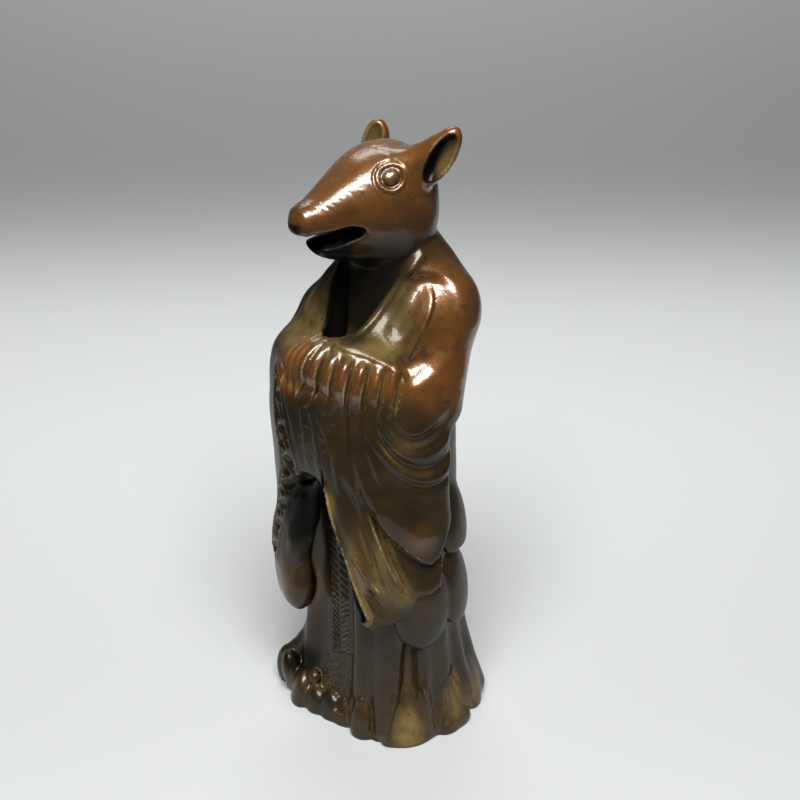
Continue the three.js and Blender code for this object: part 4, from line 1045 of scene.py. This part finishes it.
def bronze():
    material = bpy.data.materials.new("patinated_bronze")
    material.use_nodes = True
    n = Nodes(material.node_tree)
    spot = n.add("ShaderNodeTexCoord").outputs["Object"]
    fine, mid, wide = (n.attribute("hollow_" + w) for w in ("fine", "mid", "wide"))
    crest, warm_and_painted_light, gold, black_and_painted_shade = (n.attribute(w) for w in ("crest", "warm_and_painted_light", "gold", "black_and_painted_shade"))
    cloud = n.noise(spot, 70, 5, 0.6)
    patch = n.noise(spot, 190, 4, 0.65)
    speck = n.noise(spot, 700, 3, 0.6)
    grain = n.noise(spot, 2200, 2, 0.6)
    mottle = n.ramp(patch, 0.30, 0.68)

    # dark and light brown, orange brown on the warm marks, which are partly handled bronze and partly painted
    # light, broken by patches of brown
    colour = n.mix(n.ramp(cloud, 0.35, 0.65), DARK, BROWN)
    warmth_and_painted_light = n.math("MULTIPLY", n.ramp(warm_and_painted_light, 0.05, 0.95), n.ramp(cloud, 0.28, 0.62, 0.45, 1.0))
    colour = n.mix(warmth_and_painted_light, colour, ORANGE)
    colour = n.mix(n.math("MULTIPLY", warmth_and_painted_light, n.ramp(patch, 0.48, 0.72, 0.0, 0.75)), colour, BROWN)
    # gold dust in its stains and in the wider hollows, black in the narrow ones
    dust = n.math("MULTIPLY", n.ramp(gold, 0.08, 0.9), n.ramp(mottle, 0.0, 1.0, 0.45, 1.0))
    sunk = n.math("MULTIPLY", n.ramp(mid, 0.2, 0.55), n.ramp(patch, 0.25, 0.6, 0.4, 0.9))
    sunk = n.math("MULTIPLY", sunk, n.ramp(gold, 0.0, 0.25, 0.15, 1.0))
    dust = n.math("MAXIMUM", dust, sunk)
    crack = n.math("MULTIPLY", n.ramp(fine, 0.25, 0.6), n.ramp(gold, 0.0, 0.3, 0.5, 0.0))
    colour = n.mix(crack, colour, BLACK)
    colour = n.mix(dust, colour, GOLD)
    # bright metal rubbed bare on the crests, then dark specks, then black in the depths: dark patina together
    # with painted shade in the widest hollows and on the black marks
    rub = n.math("MULTIPLY", n.ramp(crest, 0.3, 0.9), n.ramp(speck, 0.35, 0.6, 0.1, 0.6))
    rub = n.math("MULTIPLY", rub, n.ramp(n.math("MAXIMUM", warm_and_painted_light, gold), 0.0, 0.4, 0.3, 1.0))
    colour = n.mix(rub, colour, BRIGHT)
    colour = n.mix(n.math("MULTIPLY", n.ramp(speck, 0.58, 0.72), 0.5), colour, DARK)
    # dark patina with painted shade in the widest hollows
    hollow_patina_and_shade = n.math("MULTIPLY", n.ramp(wide, 0.55, 1.0), n.ramp(gold, 0.3, 1.0, 1.0, 0.2))
    depth_patina_and_shade = n.math("MAXIMUM", hollow_patina_and_shade, n.ramp(black_and_painted_shade, 0.1, 0.9))
    colour = n.mix(depth_patina_and_shade, colour, BLACK)
    # the metal, its roughness and its small dents
    metal = n.math("ADD", n.math("MULTIPLY", warmth_and_painted_light, 0.15), 0.3)
    rough = n.math("ADD", n.math("MULTIPLY", dust, 0.16), n.math("MULTIPLY", speck, 0.25))
    rough = n.math("ADD", rough, 0.38)
    raised = n.math("ADD", n.math("MULTIPLY", patch, 0.9), n.math("MULTIPLY", speck, 0.35))
    raised = n.math("ADD", raised, n.math("MULTIPLY", grain, 0.16))
    dent = n.add("ShaderNodeBump", Height=raised)
    dent.inputs["Strength"].default_value = 0.3
    dent.inputs["Distance"].default_value = 0.0004
    shade = n.add("ShaderNodeBsdfPrincipled")
    n.put(shade.inputs["Base Color"], colour)
    n.put(shade.inputs["Roughness"], rough)
    n.put(shade.inputs["Metallic"], metal)
    n.put(shade.inputs["Normal"], dent.outputs["Normal"])
    n.put(shade.inputs["Coat Normal"], dent.outputs["Normal"])
    shade.inputs["Specular IOR Level"].default_value = 0.1
    # a waxy coat, glossiest on the crests and on the warm marks of handled bronze and painted light, and dull
    # on the dust and in the black depths of patina and painted shade
    gloss = n.ramp(n.math("MAXIMUM", n.math("MULTIPLY", crest, 0.6), warm_and_painted_light), 0.1, 0.75, 0.3, 0.85)
    gloss = n.math("MULTIPLY", gloss, n.ramp(dust, 0.3, 1.0, 1.0, 0.45))
    n.put(shade.inputs["Coat Weight"], n.math("MULTIPLY", gloss, n.ramp(depth_patina_and_shade, 0.0, 1.0, 1.0, 0.12)))
    shade.inputs["Coat Roughness"].default_value = 0.2
    shade.inputs["Coat IOR"].default_value = 1.75
    out = n.add("ShaderNodeOutputMaterial")
    n.put(out.inputs["Surface"], shade.outputs["BSDF"])
    return material


mesh.materials.clear()
mesh.materials.append(bronze())
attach(body, "root")
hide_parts("figure")

# Ground: a pale table that ends a little in front and rises behind in a long curve, square to the camera
AZIMUTH = 38
BACK = Vector((-math.sin(math.radians(AZIMUTH)), math.cos(math.radians(AZIMUTH)), 0))
SIDE = Vector((math.cos(math.radians(AZIMUTH)), math.sin(math.radians(AZIMUTH)), 0))
TABLE = {
    # metres: where it starts and where its flat part ends, the curve's radius, and the wall beyond it
    "front": -0.09, "flat": 0.27, "curve": 0.30, "beyond": 0.5,
    # degrees that the curve rises through
    "rise": 70,
    # half width at the front, and how fast it widens
    "near": 0.09, "widen": 0.34,
    # painted light: share of the pale colour well behind the figure, and what is added to it up the wall
    "far": 0.47, "wall": 0.16,
}
PALE = (0.69, 0.71, 0.70)


def ground():
    material = bpy.data.materials.new("pale_table")
    material.use_nodes = True
    n = Nodes(material.node_tree)
    spot = n.add("ShaderNodeTexCoord").outputs["Object"]
    along = n.tree.nodes.new("ShaderNodeVectorMath")
    along.operation = "DOT_PRODUCT"
    n.put(along.inputs[0], spot)
    along.inputs[1].default_value = BACK
    axes = n.add("ShaderNodeSeparateXYZ", Vector=spot)
    away = along.outputs["Value"]
    # painted light: a little darker in front of the figure, much darker behind it and lighter up the wall
    painted_falloff = n.ramp(away, -0.02, 0.14, 0.8, 1.0)
    painted_falloff = n.math("MULTIPLY", painted_falloff, n.ramp(away, 0.17, 0.34, 1.0, TABLE["far"]))
    painted_falloff = n.math("ADD", painted_falloff, n.ramp(axes.outputs["Z"], 0.0, 0.07, 0.0, TABLE["wall"]))
    shade = n.add("ShaderNodeBsdfPrincipled")
    n.put(shade.inputs["Base Color"], n.mix(painted_falloff, (0, 0, 0), PALE))
    shade.inputs["Roughness"].default_value = 0.55
    shade.inputs["Specular IOR Level"].default_value = 0.2
    out = n.add("ShaderNodeOutputMaterial")
    n.put(out.inputs["Surface"], shade.outputs["BSDF"])
    profile = [(TABLE["front"], 0), (TABLE["flat"], 0)]
    steps = 24
    for i in range(1, steps + 1):
        a = math.radians(TABLE["rise"]) * i / steps
        profile.append((TABLE["flat"] + TABLE["curve"] * math.sin(a), TABLE["curve"] * (1 - math.cos(a))))
    a = math.radians(TABLE["rise"])
    end = profile[-1]
    profile.append((end[0] + TABLE["beyond"] * math.cos(a), end[1] + TABLE["beyond"] * math.sin(a)))
    points = []
    for depth, up in profile:
        half = TABLE["near"] + TABLE["widen"] * (depth - TABLE["front"])
        for side in (-half, half):
            points.append(BACK * depth + SIDE * side + Vector((0, 0, up)))
    faces = [(2 * i, 2 * i + 1, 2 * i + 3, 2 * i + 2) for i in range(len(profile) - 1)]
    sheet = bpy.data.meshes.new("table")
    sheet.from_pydata(points, [], faces)
    sheet.polygons.foreach_set("use_smooth", [True] * len(faces))
    sheet.materials.append(material)
    table = bpy.data.objects.new("table", sheet)
    bpy.context.scene.collection.objects.link(table)


ground()

# Camera at the photograph's viewing angle, from the outline fitted in the figure's own units
IMAGE = 800
FOCAL_PIXELS = 1490
# how far the eye is from the figure and above the ground, and the place it looks at
AWAY, ABOVE = 205, 160
EYE_AT = (*(BACK * -AWAY).xy, ABOVE)
LOOK_AT = (1.1097, 4.2146, 54.8699)
camera = bpy.data.objects.new("camera", bpy.data.cameras.new("camera"))
camera.data.sensor_width = 36
camera.data.lens = FOCAL_PIXELS / IMAGE * camera.data.sensor_width
camera.data.clip_start, camera.data.clip_end = 0.01, 20
eye_place, look_place = Vector(to_world(EYE_AT)), Vector(to_world(LOOK_AT))
camera.location = eye_place
camera.rotation_mode = "QUATERNION"
camera.rotation_quaternion = (look_place - eye_place).to_track_quat("-Z", "Y")
bpy.context.scene.collection.objects.link(camera)
bpy.context.scene.camera = camera


# Light
def softbox(name, azimuth, elevation, away, size, power):
    """A white light aimed at the figure's middle. Azimuth 0 is in front and 90 at the figure's left"""
    a, e = math.radians(azimuth), math.radians(elevation)
    back = Vector((math.sin(a) * math.cos(e), -math.cos(a) * math.cos(e), math.sin(e)))
    light = bpy.data.lights.new(name, "AREA")
    light.shape = "RECTANGLE"
    light.size, light.size_y = size
    light.energy = power
    lamp = bpy.data.objects.new(name, light)
    lamp.location = Vector((0, 0, cad_high.z * 0.5)) + back * away
    lamp.rotation_mode = "QUATERNION"
    lamp.rotation_quaternion = back.to_track_quat("Z", "Y")
    bpy.context.scene.collection.objects.link(lamp)


softbox("key", 38, 60, 0.55, (0.34, 0.26), 5.2)
softbox("back", -135, 50, 0.50, (0.30, 0.16), 0.6)

world = bpy.data.worlds.new("room")
world.use_nodes = True
sky = world.node_tree.nodes["Background"]
sky.inputs["Color"].default_value = (0.80, 0.84, 0.88, 1)
sky.inputs["Strength"].default_value = 0.06
bpy.context.scene.world = world
bpy.context.scene.view_settings.view_transform = "Standard"
